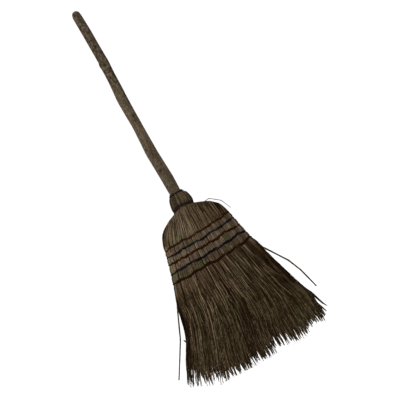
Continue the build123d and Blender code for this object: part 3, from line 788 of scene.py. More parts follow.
def cover_straws(count, rng, layer):
    """Straws of the covers, from under the neck wire down."""
    th = even_angles(count, 300.0, rng, 0.18)
    x0, y0 = on_head(th, np.full(count, 30.0))
    col, _ = column_of(x0, y0)
    full = rng.uniform(size=count) < 0.05
    end = np.where(full, tip_height(x0) + COLUMN_SHORT[col] + rng.exponential(5.0, count), rng.uniform(84.0, 214.0, count))
    f = np.linspace(0.0, 1.0, 17)[1:] ** 0.92
    z = np.concatenate([np.repeat(UPPER_Z[None], count, 0), 247.0 + (end[:, None] - 247.0) * f[None]], 1)
    bound, cell = bunched(th, 1.0)
    hold = smooth(366.0, 336.0, z) * smooth(150.0, 250.0, z) * 0.03
    t = fanned(th, z) + (bound - th)[:, None] * hold
    t = t + rng.normal(0.0, 0.005, count)[:, None] * smooth(404.0, 330.0, z)
    t = t + rng.normal(0.0, 0.030, count)[:, None] * ((247.0 - np.minimum(z, 247.0)) / 247.0)
    slots = np.arange(0, count - 3, 4)
    thin = np.zeros(count, bool)
    thin[slots + rng.integers(0, 3, len(slots))] = True
    thin &= rng.uniform(size=count) < 0.85
    rad = np.where(thin, rng.uniform(0.50, 0.68, count), rng.uniform(0.72, 1.08, count)) - 0.04 * layer
    under = rng.uniform(0.0, 1.0, count) * 0.9 + layer * 1.7 + 0.5 * thin
    # a straw comes to the surface where the fan has room for it
    rise = rng.uniform(0.0, 1.0, count)
    emerge = np.where(rise < 0.40, 430.0, 404.0 - 58.0 * rise)
    below = 2.6 * smooth(-7.0, 9.0, z - emerge[:, None])
    sink = 4.5 * smooth(235.0, 60.0, z) * (rng.uniform(0.0, 1.0, count) ** 1.5)[:, None]
    grow = -rad[:, None] - under[:, None] * smooth(410.0, 380.0, z) - below * smooth(412.0, 398.0, z) - sink
    cx, a, b, n = head(z)
    xx = cx + a * power(np.cos(t), 2.0 / n)
    grow = grow + drawn_in(xx, z) * smooth(360.0, 346.0, z) * smooth(236.0, 256.0, z)
    x, y = on_head(t, z, grow)
    amp = 0.25 + 0.8 * smooth(250.0, 20.0, z)
    ph, wl = rng.uniform(0, TAU, (2, count, 1)), rng.uniform(80.0, 210.0, (2, count, 1))
    live = smooth(404.0, 380.0, z)
    x = x + live * amp * (np.sin(TAU * z / wl[0] + ph[0]) - np.sin(TAU * 250.0 / wl[0] + ph[0]) * smooth(300.0, 250.0, z) * 0.5)
    y = y + live * 0.35 * amp * np.sin(TAU * z / wl[1] + ph[1])
    x = parted(t, x, z)
    x = x + leant(x, z)
    x = x + splay(x[:, -1:], z)
    x = np.where(full[:, None], to_points(x, y, z, rng.uniform(0.8, 1.0, count), np.ones(count)), x)
    taper = 0.45 + 0.55 * smooth(0.0, 1.0, (z - end[:, None]) / 120.0)
    radius = rad[:, None] * taper * (0.72 + 0.28 * smooth(402.0, 350.0, z))
    # straws of like tone lie side by side, with a bright or a black one here and there
    group = np.repeat(np.arange(count), rng.integers(2, 5, count))[:count]
    own = rng.beta(1.3, 1.2, count)[group] + rng.normal(0.0, 0.09, count)
    around = np.convolve(np.concatenate([own[-6:], own, own[:6]]), np.full(13, 1.0 / 13.0), "valid")
    own = own - 0.75 * (around - own.mean())
    own = np.where(rng.uniform(size=count) < 0.05, rng.uniform(0.88, 1.05, count), own)
    # Painted shade: the first straw of some groups turns nearly black below the seams, as the shadowed gap between
    # groups, and thin straws on the shoulders darken in short stretches, as the shadowed gaps of the fan.
    gap = (group != np.roll(group, 1)) & (rng.uniform(size=count) < np.where(x0 < 0.0, 0.50, 0.44))
    fan_gap_shade = np.exp(-((z - rng.uniform(338.0, 404.0, count)[:, None]) / rng.uniform(8.0, 26.0, count)[:, None]) ** 4) * thin[:, None]
    # bound straw is more even in tone than the loose ends
    loose = smooth(280.0, 250.0, z)
    # Painted shade: the lower layer is darker, as shade under the outer one, and the straw at both edges just below the
    # last seam is darker, most on the right.
    tone = 0.56 - 0.05 * smooth(350.0, 338.0, z) * smooth(255.0, 265.0, z) + (own[:, None] - 0.56) * (0.40 + 0.42 * loose - 0.60 * smooth(225.0, 150.0, z)) * (1.0 - 0.25 * loose * smooth(0.0, -45.0, x)) - 0.16 * layer - 0.19 * loose * (own < 0.8)[:, None] * (1.0 - 0.4 * smooth(0.0, -30.0, x)) - (0.11 * smooth(0.86, 0.97, (x - cx) / a) + 0.02 * smooth(0.86, 0.97, (cx - x) / a)) * smooth(252.0, 238.0, z)
    tone = tone * (1.0 - 0.42 * smooth(244.0, 205.0, z) - 0.30 * smooth(205.0, 130.0, z)) - 0.06 * smooth(290.0, 272.0, z) * smooth(236.0, 260.0, z)
    tone = tone * (1.0 - 0.85 * fan_gap_shade) * (1.0 - 0.9 * gap[:, None] * smooth(266.0, 254.0, z))
    band = np.zeros(z.shape, int)
    for k in range(len(ROWS)):
        band += z < row_height(k, x)
    deep = seeded(140 + layer).uniform(size=PATCH.shape)
    # painted shade in the furrows where the straw parts at the cell lines between the stitches
    furrow_shade = (cell != np.roll(cell, 1))[:, None] * smooth(0.62, 0.30, deep[cell[:, None], band]) * smooth(350.0, 344.0, z) * smooth(252.0, 260.0, z)
    # painted highlight just above the lower seam rows and painted shade just below the upper ones
    for k, (over, below) in enumerate(((0.0, -0.08), (0.0, -0.04), (0.06, -0.03), (0.05, -0.03), (0.11, 0.0))):
        off = z - row_height(k, x)
        tone = tone + over * np.exp(-((off - 6.5) / 4.2) ** 2) + below * np.exp(-((off + 6.2) / 4.2) ** 2)
    tone = tone * (1.0 - 0.82 * furrow_shade)
    # dye of the navy rows has run into the straw beside them
    run = sum(np.exp(-((z - row_height(k, x)) / 6.2) ** 2) for k in (1, 3))
    hue = 0.5 + PATCH[cell[:, None], band] * smooth(356.0, 342.0, z) * smooth(230.0, 256.0, z) + rng.normal(0, 0.09, count)[:, None]
    # painted shadow of the neck wire on the straw at and just below it
    soil = dirt_and_shade_of(x, z, rng.normal(-0.04, 0.07, count)) + 0.5 * np.exp(-((z - 404.0) / 4.0) ** 2)
    return {"path": np.stack([x, y, z + arch(t, z)], -1), "radius": radius, "tone": np.clip(tone, 0, 1), "hue": np.clip(hue, 0, 1), "soil": np.clip(soil, 0, 0.94), "mark": np.clip(run, 0, 1), "th": th, "turn": rng.uniform(0, TAU, count)}


def crease_straws(count, rng):
    """Near-black straws that stand in for the shadowed furrows of the shoulders and between the seams, painted shade,
    with a bright one here and there.
    """
    th = even_angles(count, 330.0, rng, 0.5)
    high = rng.uniform(size=count) < 0.72
    x0, _ = on_head(th, np.full(count, 365.0))
    th = th[rng.uniform(size=count) < np.where(high, np.interp(x0, [-60.0, -20.0, 30.0], [0.30, 0.60, 1.0]), 0.8)]
    count = len(th)
    high = high[:count]
    top = np.where(high, rng.uniform(376.0, 402.0, count), rng.uniform(272.0, 342.0, count))
    length = np.where(high, rng.uniform(20.0, 56.0, count), rng.uniform(8.0, 24.0, count))
    f = np.linspace(0.0, 1.0, 16)[None]
    z = top[:, None] - length[:, None] * f
    t = fanned(th, z) + rng.normal(0.0, 0.010, count)[:, None] * (f - 0.5)
    bright = rng.uniform(size=count) < 0.36
    rad = np.where(bright, rng.uniform(0.50, 0.70, count), rng.uniform(0.55, 0.95, count))
    grow = -0.30 - rad[:, None] * 0.3 - 1.7 * (1.0 - smooth(0.0, 0.16, f)) - 1.7 * smooth(0.84, 1.0, f) + 0.0 * z
    cx, a, b, n = head(z)
    grow = grow + drawn_in(cx + a * power(np.cos(t), 2.0 / n), z) * smooth(360.0, 346.0, z) * smooth(236.0, 256.0, z)
    x, y = on_head(t, z, grow)
    radius = rad[:, None] * (0.55 + 0.45 * np.sin(f * math.pi))
    tone = np.where(bright, rng.uniform(0.86, 1.0, count), rng.uniform(0.0, 0.12, count))
    return {"path": np.stack([x, y, z + arch(t, z)], -1), "radius": radius, "tone": np.repeat(tone[:, None], 16, 1), "hue": np.full(count, 0.5), "soil": dirt_and_shade_of(x, z, np.zeros(count)) * np.where(bright, 0.72, 1.0)[:, None], "th": th, "turn": rng.uniform(0, TAU, count)}


def corner_straws(rng):
    """The few straws that stand off at the lower corners, and a broken stub."""
    lines = (
        (22, 2.2, ((143.0, -7.0, 158.0), (157.5, -5.0, 122.0), (167.4, -4.2, 101.0), (175.0, -4.0, 86.0), (178.0, -4.0, 78.0), (183.0, -4.0, 62.0), (188.0, -4.0, 49.0), (193.4, -4.0, 38.0))),
        (24, 1.8, ((150.0, -11.0, 136.0), (163.0, -9.0, 104.0), (170.0, -8.0, 82.0), (175.0, -8.0, 62.0), (180.8, -8.0, 46.0), (186.2, -8.0, 29.5))),
        (5, 1.6, ((143.0, -16.0, 120.0), (159.0, -15.0, 84.0), (168.0, -14.0, 58.0), (172.0, -14.0, 40.0), (175.0, -14.0, 22.0))),
        (15, 1.9, ((-134.0, -16.0, 128.0), (-146.0, -18.0, 103.0), (-155.6, -19.0, 83.0), (-164.6, -20.0, 64.0), (-171.6, -20.0, 51.0), (-179.4, -20.0, 36.6))),
        (8, 1.8, ((-138.0, -25.0, 106.0), (-151.0, -24.0, 80.0), (-160.0, -24.0, 60.0), (-167.0, -24.0, 43.0), (-173.0, -24.0, 28.0))),
        (26, 0.8, ((-130.0, -10.0, 104.0), (-132.6, -8.0, 111.0), (-134.6, -6.5, 118.0), (-137.4, -6.0, 124.4), (-141.6, -6.0, 130.6))),
    )
    path, radius = [], []
    q = np.linspace(0.0, 1.0, 18)
    for many, wide, pts in lines:
        pts = np.array(pts)
        run = np.concatenate([[0.0], np.cumsum(np.linalg.norm(np.diff(pts, axis=0), axis=1))])
        for k in range(many):
            reach = run[-1] * (1.0 if k == 0 else 1.0 - 0.34 * rng.beta(1.1, 1.0))
            at = np.stack([pchip(run, pts[:, j], q * reach) for j in range(3)], -1)
            at[:, :2] += rng.normal(0.0, wide, 2) * (smooth(0.1, 0.75, q) * (1.0 - 0.2 * q))[:, None]
            path.append(at)
            radius.append(rng.uniform(0.75, 1.05) * (1.0 - 0.3 * q))
    path, radius = np.array(path), np.array(radius)
    count = len(path)
    th = np.where(path[:, -1, 0] > 0, -0.25, math.pi + 0.25)
    return {"path": path, "radius": radius, "tone": np.repeat(rng.uniform(0.2, 0.5, count)[:, None], 18, 1), "hue": np.full(count, 0.5), "soil": np.full(path.shape[:2], 0.2), "th": th, "turn": rng.uniform(0, TAU, count)}


def sweep_straws(bundles, each, rng, deep, pale=None):
    """Finer straws that start under the seams and make up the sweep."""
    th = even_angles(bundles, 60.0, rng, 0.45)
    start = rng.uniform(pale[2], 290.0, bundles) if pale else rng.uniform(256.0, 292.0, bundles)
    drift, spin = rng.normal(0.0, 0.014, bundles), rng.normal(0.0, 0.10, bundles)
    slope = rng.normal(0.0, 0.040 if pale else 0.034, bundles)
    hue, own = rng.beta(6.0, 6.0, bundles), rng.normal(-0.02, 0.05, bundles)
    ph, wl = rng.uniform(0, TAU, (2, bundles)), rng.uniform(110.0, 260.0, (2, bundles))
    amp_b = rng.uniform(0.1, 0.45, bundles)
    worn = rng.exponential(0.5, bundles) + np.where(rng.uniform(size=bundles) < (0.85 if pale else 0.16), rng.uniform(6.0, 80.0, bundles), 0.0)
    width = rng.uniform(0.9, 2.0, bundles)
    b = np.repeat(np.arange(bundles), each)
    count = len(b)
    depth = rng.uniform(0.0, 1.0, count)
    if pale:
        depth, tone = -0.12 * depth, rng.uniform(pale[0], pale[1], count)
    else:
        # Painted shade: deeper straws and straws of the deep set are darker, and a few near-black straws stand in for
        # the shadowed gaps between straws.
        tone = 0.36 + rng.normal(0.0, 0.07, bundles)[b] + rng.normal(0.0, 0.17, count) - 0.06 * depth - 0.14 * deep
        odd = rng.uniform(size=count)
        tone = np.where(odd < 0.06, rng.uniform(0.62, 0.92, count), np.where(odd > 0.87, rng.uniform(-0.14, 0.04, count), tone))
    x0, y0 = on_head(th + drift, np.full(bundles, 30.0))
    x0 = x0 + slope * 150.0
    x0 = x0 + leant(x0, np.full(bundles, 20.0))
    x0 = x0 + splay(x0, 20.0)
    close = np.interp(x0, [-110.0, -70.0, 30.0, 70.0], [0.84, 0.50, 0.50, 0.62])[b]
    share, reach = np.where(rng.uniform(size=count) < 0.08, rng.uniform(0.1, 0.5, count), close + rng.uniform(0.0, 0.18, count)), rng.uniform(0.85, 1.15, count)
    col, _ = column_of(x0, y0)
    end = (tip_height(x0) + COLUMN_SHORT[col] + worn)[b] + rng.exponential(4.0, count) * (rng.uniform(size=count) < 0.45)
    end = thinned(end, x0[b], rng)
    if pale:
        end = np.maximum(end, start[b] - rng.uniform(26.0, 88.0, count))
    f = np.concatenate([np.linspace(0.0, 0.20, 5)[:-1], np.linspace(0.20, 0.80, 13)[:-1], np.linspace(0.80, 1.0, 8)])
    z = start[b][:, None] + (end - start[b])[:, None] * f[None]
    bound, cell = bunched(th, 1.0)
    t = th[b][:, None] + ((bound - th)[b])[:, None] * smooth(170.0, 250.0, z) * 0.16
    t = t + drift[b][:, None] * ((300.0 - z) / 300.0)
    rad = rng.uniform(pale[3], pale[4], count) if pale else rng.uniform(0.54, 0.92, count)
    under = (1.7 + 1.8 * deep + 1.0 * depth) * (0.3 if pale else 1.0)
    outer = depth * (1.8 + 6.0 * deep) + 2.2 * deep
    grow = -0.9 - under[:, None] * smooth(205.0, 252.0, z) - outer[:, None] * smooth(240.0, 80.0, z)
    # the straws weave over and under each other
    dip, pitch = rng.uniform(0.3, 1.15, count)[:, None], rng.uniform(55.0, 150.0, count)[:, None]
    grow = grow - dip * (1.0 + np.sin(TAU * z / pitch + rng.uniform(0, TAU, count)[:, None])) * smooth(250.0, 205.0, z) * (0.4 if pale else 1.0)
    if pale:
        grow = grow - 3.0 * smooth(18.0, 0.0, start[b][:, None] - z) - 3.0 * smooth(16.0, 0.0, z - end[:, None])
    cx, a, bb, n = head(z)
    xx = cx + a * power(np.cos(t), 2.0 / n)
    grow = grow + drawn_in(xx, z) * smooth(236.0, 256.0, z)
    x, y = on_head(t, z, grow)
    amp = (0.2 + 1.2 * smooth(250.0, 10.0, z)) * amp_b[b][:, None]
    free = smooth(275.0, 215.0, z)
    x = x + amp * np.sin(TAU * z / wl[0][b][:, None] + ph[0][b][:, None]) * free
    y = y + 0.5 * amp * np.sin(TAU * z / wl[1][b][:, None] + ph[1][b][:, None]) * free
    edge = 1.0 - 0.8 * smooth(0.55, 0.95, np.abs(np.cos(t)))
    x = x + (slope[b] + rng.normal(0.0, 0.026, count))[:, None] * np.maximum(0.0, 190.0 - z) * edge
    # each straw's own place beside its neighbours, with a slow twist
    ang = rng.uniform(0, TAU, count)[:, None] + spin[b][:, None] * (z - 200.0) / 60.0
    off = (np.sqrt(rng.uniform(0.0, 1.0, count)) * width[b])[:, None]
    x = x + off * np.cos(ang)
    y = y + off * np.sin(ang) * (0.3 if pale else 0.55)
    x = parted(t, x, z)
    x = x + leant(x, z)
    x = x + splay(x[:, -1:], z)
    x = to_points(x, y, z, share, reach)
    loose = np.where(rng.uniform(size=count) < 0.07, rng.normal(0, 3.0, count), 0.0)[:, None] * smooth(140.0, 0.0, z) ** 1.5
    x = x + loose + rng.normal(0.0, 0.5, count)[:, None] * (1.0 - smooth(0.0, 30.0, z - end[:, None]))
    radius = rad[:, None] * (0.84 + 0.16 * smooth(0.0, 1.0, (z - end[:, None]) / 30.0))
    # dirt evens out the straw towards the floor
    even = np.where(tone[:, None] > 0.36, 0.30, 0.60)
    even = even + (1.0 - even) * smooth(70.0, 160.0, z)
    tone = np.clip(np.interp(z, [0.0, 60.0, 120.0, 170.0, 215.0, 290.0], [0.466, 0.454, 0.432, 0.446, 0.490, 0.51]) + (tone[:, None] - 0.36) * even * (1.0 - 0.22 * (pale is not None) * smooth(210.0, 90.0, z)) * (1.0 - 0.18 * (tone > 0.36)[:, None] * smooth(0.0, -45.0, x)) + (0.05 + 0.05 * smooth(90.0, 140.0, x)) * smooth(60.0, 140.0, np.abs(x)) * smooth(95.0, 50.0, z) + (0.04 - 0.15 * smooth(0.80, 0.94, (cx - x) / a)) * smooth(6.0, -24.0, x) * smooth(190.0, 160.0, z), 0.0, 1.0)
    return {"path": np.stack([x, y, z], -1), "radius": radius, "tone": tone, "hue": hue[b], "soil": dirt_and_shade_of(x, z, own[b] + rng.normal(0.0, 0.06, count)), "th": th[b], "turn": rng.uniform(0, TAU, count)}


def broken_straws(count, rng):
    """Short broken straws and side branches that lie across the lower sweep."""
    th = even_angles(count, 60.0, rng, 0.5)
    top = 45.0 + 165.0 * rng.beta(1.1, 1.5, count)
    length = rng.uniform(16.0, 52.0, count)
    f = np.linspace(0.0, 1.0, 7)[None]
    z = top[:, None] - length[:, None] * f
    x0, _ = on_head(th, top)
    z = np.maximum(z, tip_height(x0)[:, None] + 8.0 + 0.6 * (1.0 - f))
    grow = -0.35 - rng.uniform(0.0, 1.3, count)[:, None] - 2.4 * (1.0 - smooth(0.0, 0.2, f)) - 1.2 * smooth(0.85, 1.0, f)
    x, y = on_head(th[:, None], z, grow)
    slope = rng.normal(0.0, 0.12, count)[:, None] * (1.0 - 0.85 * smooth(0.6, 0.95, np.abs(np.cos(th))))[:, None]
    x = x + slope * (top[:, None] - z) + rng.normal(0, 0.7, count)[:, None] * np.sin(f * math.pi)
    x = x + leant(x, z)
    x = x + splay(x[:, -1:], z)
    rad = rng.uniform(0.40, 0.64, count)
    radius = rad[:, None] * (1.0 - 0.25 * f)
    odd = rng.uniform(size=count)
    tone = np.where(odd < 0.42, rng.uniform(0.55, 0.95, count), np.where(odd < 0.62, rng.uniform(0.0, 0.1, count), rng.uniform(0.25, 0.5, count)))
    return {"path": np.stack([x, y, z], -1), "radius": radius, "tone": 0.38 + (tone[:, None] - 0.38) * (0.5 + 0.5 * smooth(70.0, 150.0, z)), "hue": rng.beta(6.0, 6.0, count), "soil": dirt_and_shade_of(x, z, rng.normal(0.0, 0.08, count)), "th": th, "turn": rng.uniform(0, TAU, count)}


def inner_straws(count, rng):
    """Ends of the straw inside the head, seen between the tips and from below."""
    th = rng.uniform(0, TAU, count)
    depth = np.sqrt(rng.uniform(0.0, 1.0, count)) * 0.92
    x0, y0 = on_head(th, np.full(count, 30.0), -6.0, depth)
    x0 = x0 + splay(x0, 20.0)
    col, _ = column_of(x0, y0)
    end = tip_height(x0) + COLUMN_SHORT[col] + rng.exponential(6.0, count) + rng.uniform(1.0, 16.0, count)
    end = thinned(end, x0, rng)
    start = rng.uniform(112.0, 150.0, count)
    f = np.linspace(0.0, 1.0, 10)
    z = start[:, None] + (end - start)[:, None] * f[None]
    x, y = on_head(th[:, None], z, -6.0, depth[:, None])
    ph, wl = rng.uniform(0, TAU, (2, count, 1)), rng.uniform(80.0, 180.0, (2, count, 1))
    amp = 1.6 * smooth(140.0, 10.0, z)
    x = x + amp * np.sin(TAU * z / wl[0] + ph[0])
    y = y + amp * np.sin(TAU * z / wl[1] + ph[1])
    x = x + splay(x[:, -1:], z)
    x = to_points(x, y, z, rng.uniform(0.78, 0.98, count), rng.uniform(0.9, 1.2, count))
    x = x + np.where(rng.uniform(size=count) < 0.05, rng.normal(0, 3.0, count), rng.normal(0, 0.4, count))[:, None] * smooth(120.0, 0.0, z)
    rad = rng.uniform(0.50, 0.84, count)
    radius = rad[:, None] * (0.62 + 0.38 * smooth(0.0, 1.0, (z - end[:, None]) / 40.0))
    return {"path": np.stack([x, y, z], -1), "radius": radius, "tone": rng.beta(1.4, 1.6, count), "hue": np.full(count, 0.5), "soil": dirt_and_shade_of(x, z, rng.normal(0, 0.1, count)), "th": th, "turn": rng.uniform(0, TAU, count)}


def pick(s, keep):
    return {k: v[keep] for k, v in s.items()}


def straw_skin(s, sides, cols=56):
    path = s["path"].copy()
    path[..., 2] = np.maximum(path[..., 2], 0.5)
    rings = tubes(path, s["radius"], sides, ref=(0.06, 1.0, 0.0), turn=s["turn"])
    rings[..., 2] = np.maximum(rings[..., 2], 0.15)
    return skin(rings, share=float(len(path)), cols=cols, tone=s["tone"], hue=s["hue"], soil=s["soil"], mark=s.get("mark", [0.0]))


def bend(ob):
    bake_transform(ob)


outer = cover_straws(310, seeded(11), 0)
lower = cover_straws(240, seeded(12), 1)
crease = crease_straws(210, seeded(19))
for side, name in ((-1, "front"), (1, "back")):
    parts = []
    for s in (outer, lower, crease):
        keep = np.sin(s["th"]) * side > 0
        parts.append(straw_skin(pick(s, keep), 6, cols=40))
    ob = build(f"{name}_cover", parts, COVER, 20 + side)
    bend(ob)
    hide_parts(f"{name}_cover_straw")

fine = sweep_straws(560, 2, seeded(13), 0)
deep = sweep_straws(300, 3, seeded(14), 1)
pale = sweep_straws(190, 1, seeded(16), 0, (0.56, 0.82, 110.0, 0.42, 0.66))
# near-black straws that stand in for the shadowed gaps between straws of the sweep: painted shade
black = sweep_straws(360, 1, seeded(18), 0, (-0.22, -0.08, 175.0, 0.44, 0.70))
light = sweep_straws(76, 1, seeded(21), 0, (0.70, 0.90, 204.0, 0.50, 0.72))
broken = broken_straws(1250, seeded(17))
corner = corner_straws(seeded(20))
for side, name in ((-1, "front"), (1, "back")):
    for part, lo, hi in (("left", -1.1, -0.36), ("middle", -0.36, 0.36), ("right", 0.36, 1.1)):
        parts = []
        for s in (fine, deep, pale, black, light, broken, corner):
            keep = (np.sin(s["th"]) * side > 0) & (np.cos(s["th"]) >= lo) & (np.cos(s["th"]) < hi)
            if keep.any():
                parts.append(straw_skin(pick(s, keep), 4))
        ob = build(f"{name}_sweep_{part}", parts, SWEEP, 30 + side * 3 + (part == "left") + 2 * (part == "right"))
        bend(ob)
        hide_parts(f"{name}_cover_ends")

core = inner_straws(900, seeded(15))
for part, lo, hi, node in (("left", -400.0, -45.0, "left_shoulder_ends"), ("middle", -45.0, 62.0, "core_ends"), ("right", 62.0, 400.0, "right_shoulder_ends")):
    x = core["path"][:, -1, 0]
    ob = build(f"inner_tips_{part}", [straw_skin(pick(core, (x >= lo) & (x < hi)), 4)], INNER, 40 + (part == "left") + 2 * (part == "right"))
    bend(ob)
    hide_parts(node)


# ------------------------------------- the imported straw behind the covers
def make_inner_mass():
    rng = seeded(4)
    K = 420
    th = even_angles(K, 220.0, rng, 0.0)
    z = np.concatenate([np.linspace(404.0, 350.0, 18), np.linspace(345.0, 250.0, 40), np.linspace(244.0, 64.0, 30)])
    Z = np.repeat(z[:, None], K, 1)
    T = np.repeat(th[None], len(z), 0)
    rib = rng.normal(0.0, 0.55, K)
    rib = rib[None] + 0.45 * np.sin(np.arange(K) * math.pi)[None]
    cx, a, b, n = head(Z)
    xx = cx + a * power(np.cos(T), 2.0 / n)
    grow = -4.4 + rib + 0.7 * drawn_in(xx, Z) * smooth(360.0, 346.0, Z) * smooth(236.0, 256.0, Z) - 3.0 * smooth(200.0, 64.0, Z)
    x, y = on_head(T, Z, grow)
    rings = np.stack([x, y, Z + arch(T, Z)], -1)
    # drawn to a ragged foot among the tips
    foot = rings[-1].copy()
    cxf = float(head(np.array(64.0))[0])
    feet = []
    for k, (s, dz) in enumerate(((0.93, 7.0), (0.8, 11.0), (0.5, 13.0), (0.15, 13.5))):
        f = foot.copy()
        f[:, 0] = cxf + (f[:, 0] - cxf) * s
        f[:, 1] *= s
        f[:, 2] -= dz + rng.normal(0, 1.0, K) * (k < 2)
        feet.append(f)
    tip = tip_height(rings[..., 0])
    rings = np.concatenate([rings, np.stack(feet)])
    rings[..., 2] = np.maximum(rings[..., 2], np.concatenate([tip, np.repeat(tip[-1:], 4, 0)]) + 32.0 - 8.0 * np.linspace(0, 1, len(rings))[:, None])
    Zs = rings[..., 2]
    s = skin(rings[None], split=2, cols=2, tone=[0.3], hue=[0.5], soil=np.clip(0.25 + 0.5 * smooth(300.0, 80.0, Zs.mean(1)), 0, 1)[None] * 0.6)
    ob = build("inner_straw", [s], INNER, 3)
    tone = np.clip(0.35 + rng.normal(0, 0.2, K), 0, 1)
    ob.data.attributes["tone"].data.foreach_set("value", np.repeat(tone[None], len(rings), 0).astype(np.float32).ravel())
    bend(ob)
    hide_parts("core_straw", "left_shoulder_straw", "right_shoulder_straw")


make_inner_mass()


# ------------------------------------------------------------------- seams
def row_line(k, count, lift):
    """Points round the head along a seam row."""
    rng = seeded(60 + k)
    th = even_angles(count, ROWS[k][0], rng, 0.0)
    z = np.full(count, ROWS[k][0])
    for _ in range(8):
        x, y = on_head(th, z, lift)
        z = row_height(k, x)
    e = np.stack([x, y, z], -1)
    t = np.roll(e, -1, 0) - np.roll(e, 1, 0)
    t /= np.linalg.norm(t, axis=1, keepdims=True)
    out = np.cross(t, np.array([0.0, 0.0, 1.0]))
    out /= np.linalg.norm(out, axis=1, keepdims=True)
    return th, e, out


def make_seam(k):
    rng = seeded(70 + k)
    colour = ROWS[k][5]
    count = 460
    th, line, out = row_line(k, count, -1.5)
    run = np.concatenate([[0.0], np.cumsum(np.linalg.norm(np.diff(line, axis=0), axis=1))])
    total = run[-1] + np.linalg.norm(line[0] - line[-1])
    turns = round(total / 11.5)
    phase = TAU * turns * run / total
    wander = np.zeros(count)
    for m in (3, 5, 8, 13, 21, 29, 37):
        wander += rng.normal(0, 0.60) * np.cos(m * run / total * TAU + rng.uniform(0, TAU)) / (1 + m * 0.015)
    # each stitch draws the twine a little askew
    cells = round(total / 12.6)
    at = run / total * cells
    step = rng.uniform(0.0, 1.2, cells)[np.minimum(at.astype(int), cells - 1)]
    saw = at % 1.0
    wander += step * np.where(saw < 0.82, saw / 0.82 - 0.5, 0.5 - (saw - 0.82) / 0.18)
    strands = []
    up = np.array([0.0, 0.0, 1.0])
    for s in (0.0, math.pi):
        p = line + up * (1.0 * np.sin(phase + s) + wander)[:, None] + out * (0.65 * np.cos(phase + s) + 0.1)[:, None]
        strands.append(p)
    rad = (1.38, 1.30, 1.72, 2.08, 2.28)[k] * (1.0 + 0.07 * np.sin(np.arange(count) * 1.7) + 0.19 * np.cos(11 * run / total * TAU + 3 * k) + 0.15 * np.cos(17 * run / total * TAU + k) + 0.11 * np.cos(29 * run / total * TAU + 2 * k))
    rad = rad * (1.0 - 0.42 * smooth(0.78, 0.97, np.abs(np.cos(th))))
    rings = tubes(np.stack(strands), np.stack([rad, rad]), 7, ref=(0.0, 0.0, 1.0), closed=True)
    ob = build(f"seam_twine_{k + 1}", [skin(rings, closed=True, split=10, cols=5)], TWINE[colour], 100 + k)
    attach(ob, "broom")
    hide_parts(f"seam_band_{k + 1}")

    # stitches over the twine, through the straw at the cell lines
    paths = []
    for side in (-1, 1):
        for u in CELL_U:
            z = float(ROWS[k][0])
            for _ in range(6):
                cx, a, b, n = [float(v) for v in head(np.array(z))]
                x = cx + a * u
                z = float(row_height(k, np.array(x)))
            x += rng.normal(0, 0.8)
            slant = 3.0 + rng.normal(0, 0.5)
            tall = 2.3 + rng.normal(0, 0.35)
            pts = []
            for q, lift in ((-1.0, -3.4), (-0.92, -1.2), (-0.7, 0.4), (-0.35, 1.35), (0.0, 1.62), (0.35, 1.35), (0.7, 0.4), (0.92, -1.2), (1.0, -3.4)):
                px, pz = x + slant * q, z - tall * q * (1 if side < 0 else 1) + rng.normal(0, 0.05)
                cx, a, b, n = [float(v) for v in head(np.array(pz))]
                uu = min(1.0, abs(px - cx) / a)
                yy = b * (1.0 - uu ** n) ** (1.0 / n)
                pts.append((px, side * (yy - 1.4 + lift), pz))
            paths.append(pts)
    paths = np.array(paths)
    rad = np.full(paths.shape[:2], 0.82) + rng.normal(0, 0.05, len(paths))[:, None]
    ob = build(f"seam_stitch_{k + 1}", [skin(tubes(paths, rad, 6, ref=(1.0, 0.0, 0.25)), cols=16)], TWINE[colour], 110 + k)
    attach(ob, "broom")
    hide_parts(f"seam_stitches_{k + 1}")


for k in range(len(ROWS)):
    make_seam(k)


# ------------------------------------------------------------ stray straws
def make_stray(name, node, points, r0, r1, seed, moves):
    rng = seeded(seed)
    p = np.array(points)
    run = np.concatenate([[0.0], np.cumsum(np.linalg.norm(np.diff(p, axis=0), axis=1))])
    q = np.linspace(0.0, run[-1], 90)
    path = np.stack([np.interp(q, run, p[:, k]) for k in range(3)], -1)
    for _ in range(2):
        path[1:-1] = (path[:-2] + 2.0 * path[1:-1] + path[2:]) / 4.0
    path[:, 1] += 0.5 * np.sin(q / 23.0) * smooth(0.0, 30.0, q)
    f = q / run[-1]
    knee = sum(np.exp(-((q - r) / 2.2) ** 2) for r in run[1:-1])
    radius = (r0 + (r1 - r0) * f) * (1.0 + 0.05 * np.sin(q / 9.0 + rng.uniform(0, TAU)) + 0.10 * knee)
    parts = [skin(tubes(path[None], radius[None], 7), share=1.0, cols=4, split=4, tone=[0.45], hue=[0.5], soil=(0.1 + 0.25 * f)[None])]
    ob = build(name, parts, STRAY, seed)
    if moves:
        bend(ob)
    else:
        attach(ob, "broom")
    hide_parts(node)


make_stray("stray_left", "left_stray_straw", LEFT_STRAY, 2.0, 1.5, 81, True)
make_stray("stray_right", "right_stray_straw", RIGHT_STRAY, 2.05, 1.75, 82, True)
make_stray("stray_shoulder", "shoulder_stray_straw", SHOULDER_STRAY, 1.0, 0.75, 83, False)


# -------------------------------------------------------------- neck wire
def make_neck_wire():
    """Two turns side by side, drawn tight and a little uneven."""
    rng = seeded(84)
    th = np.linspace(0.0, 2.0 * TAU, 241)
    r = np.full(len(th), 27.6)
    for m in (3, 5, 7, 11):
        r += rng.normal(0, 0.10) * np.cos(m * th / 2.0 + rng.uniform(0, TAU))
    z = 404.1 + 1.854 * th / TAU
    path = np.stack([X_NECK + r * np.cos(th), r * np.sin(th), z + arch(th, z)], -1)
    ob = build("neck_wire", [skin(tubes(path[None], np.full((1, len(th)), 0.9), 8, ref=(0.0, 0.0, 1.0)), cols=4, split=8)], WIRE, 84)
    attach(ob, "broom")
    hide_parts("neck_binding_wire")


make_neck_wire()

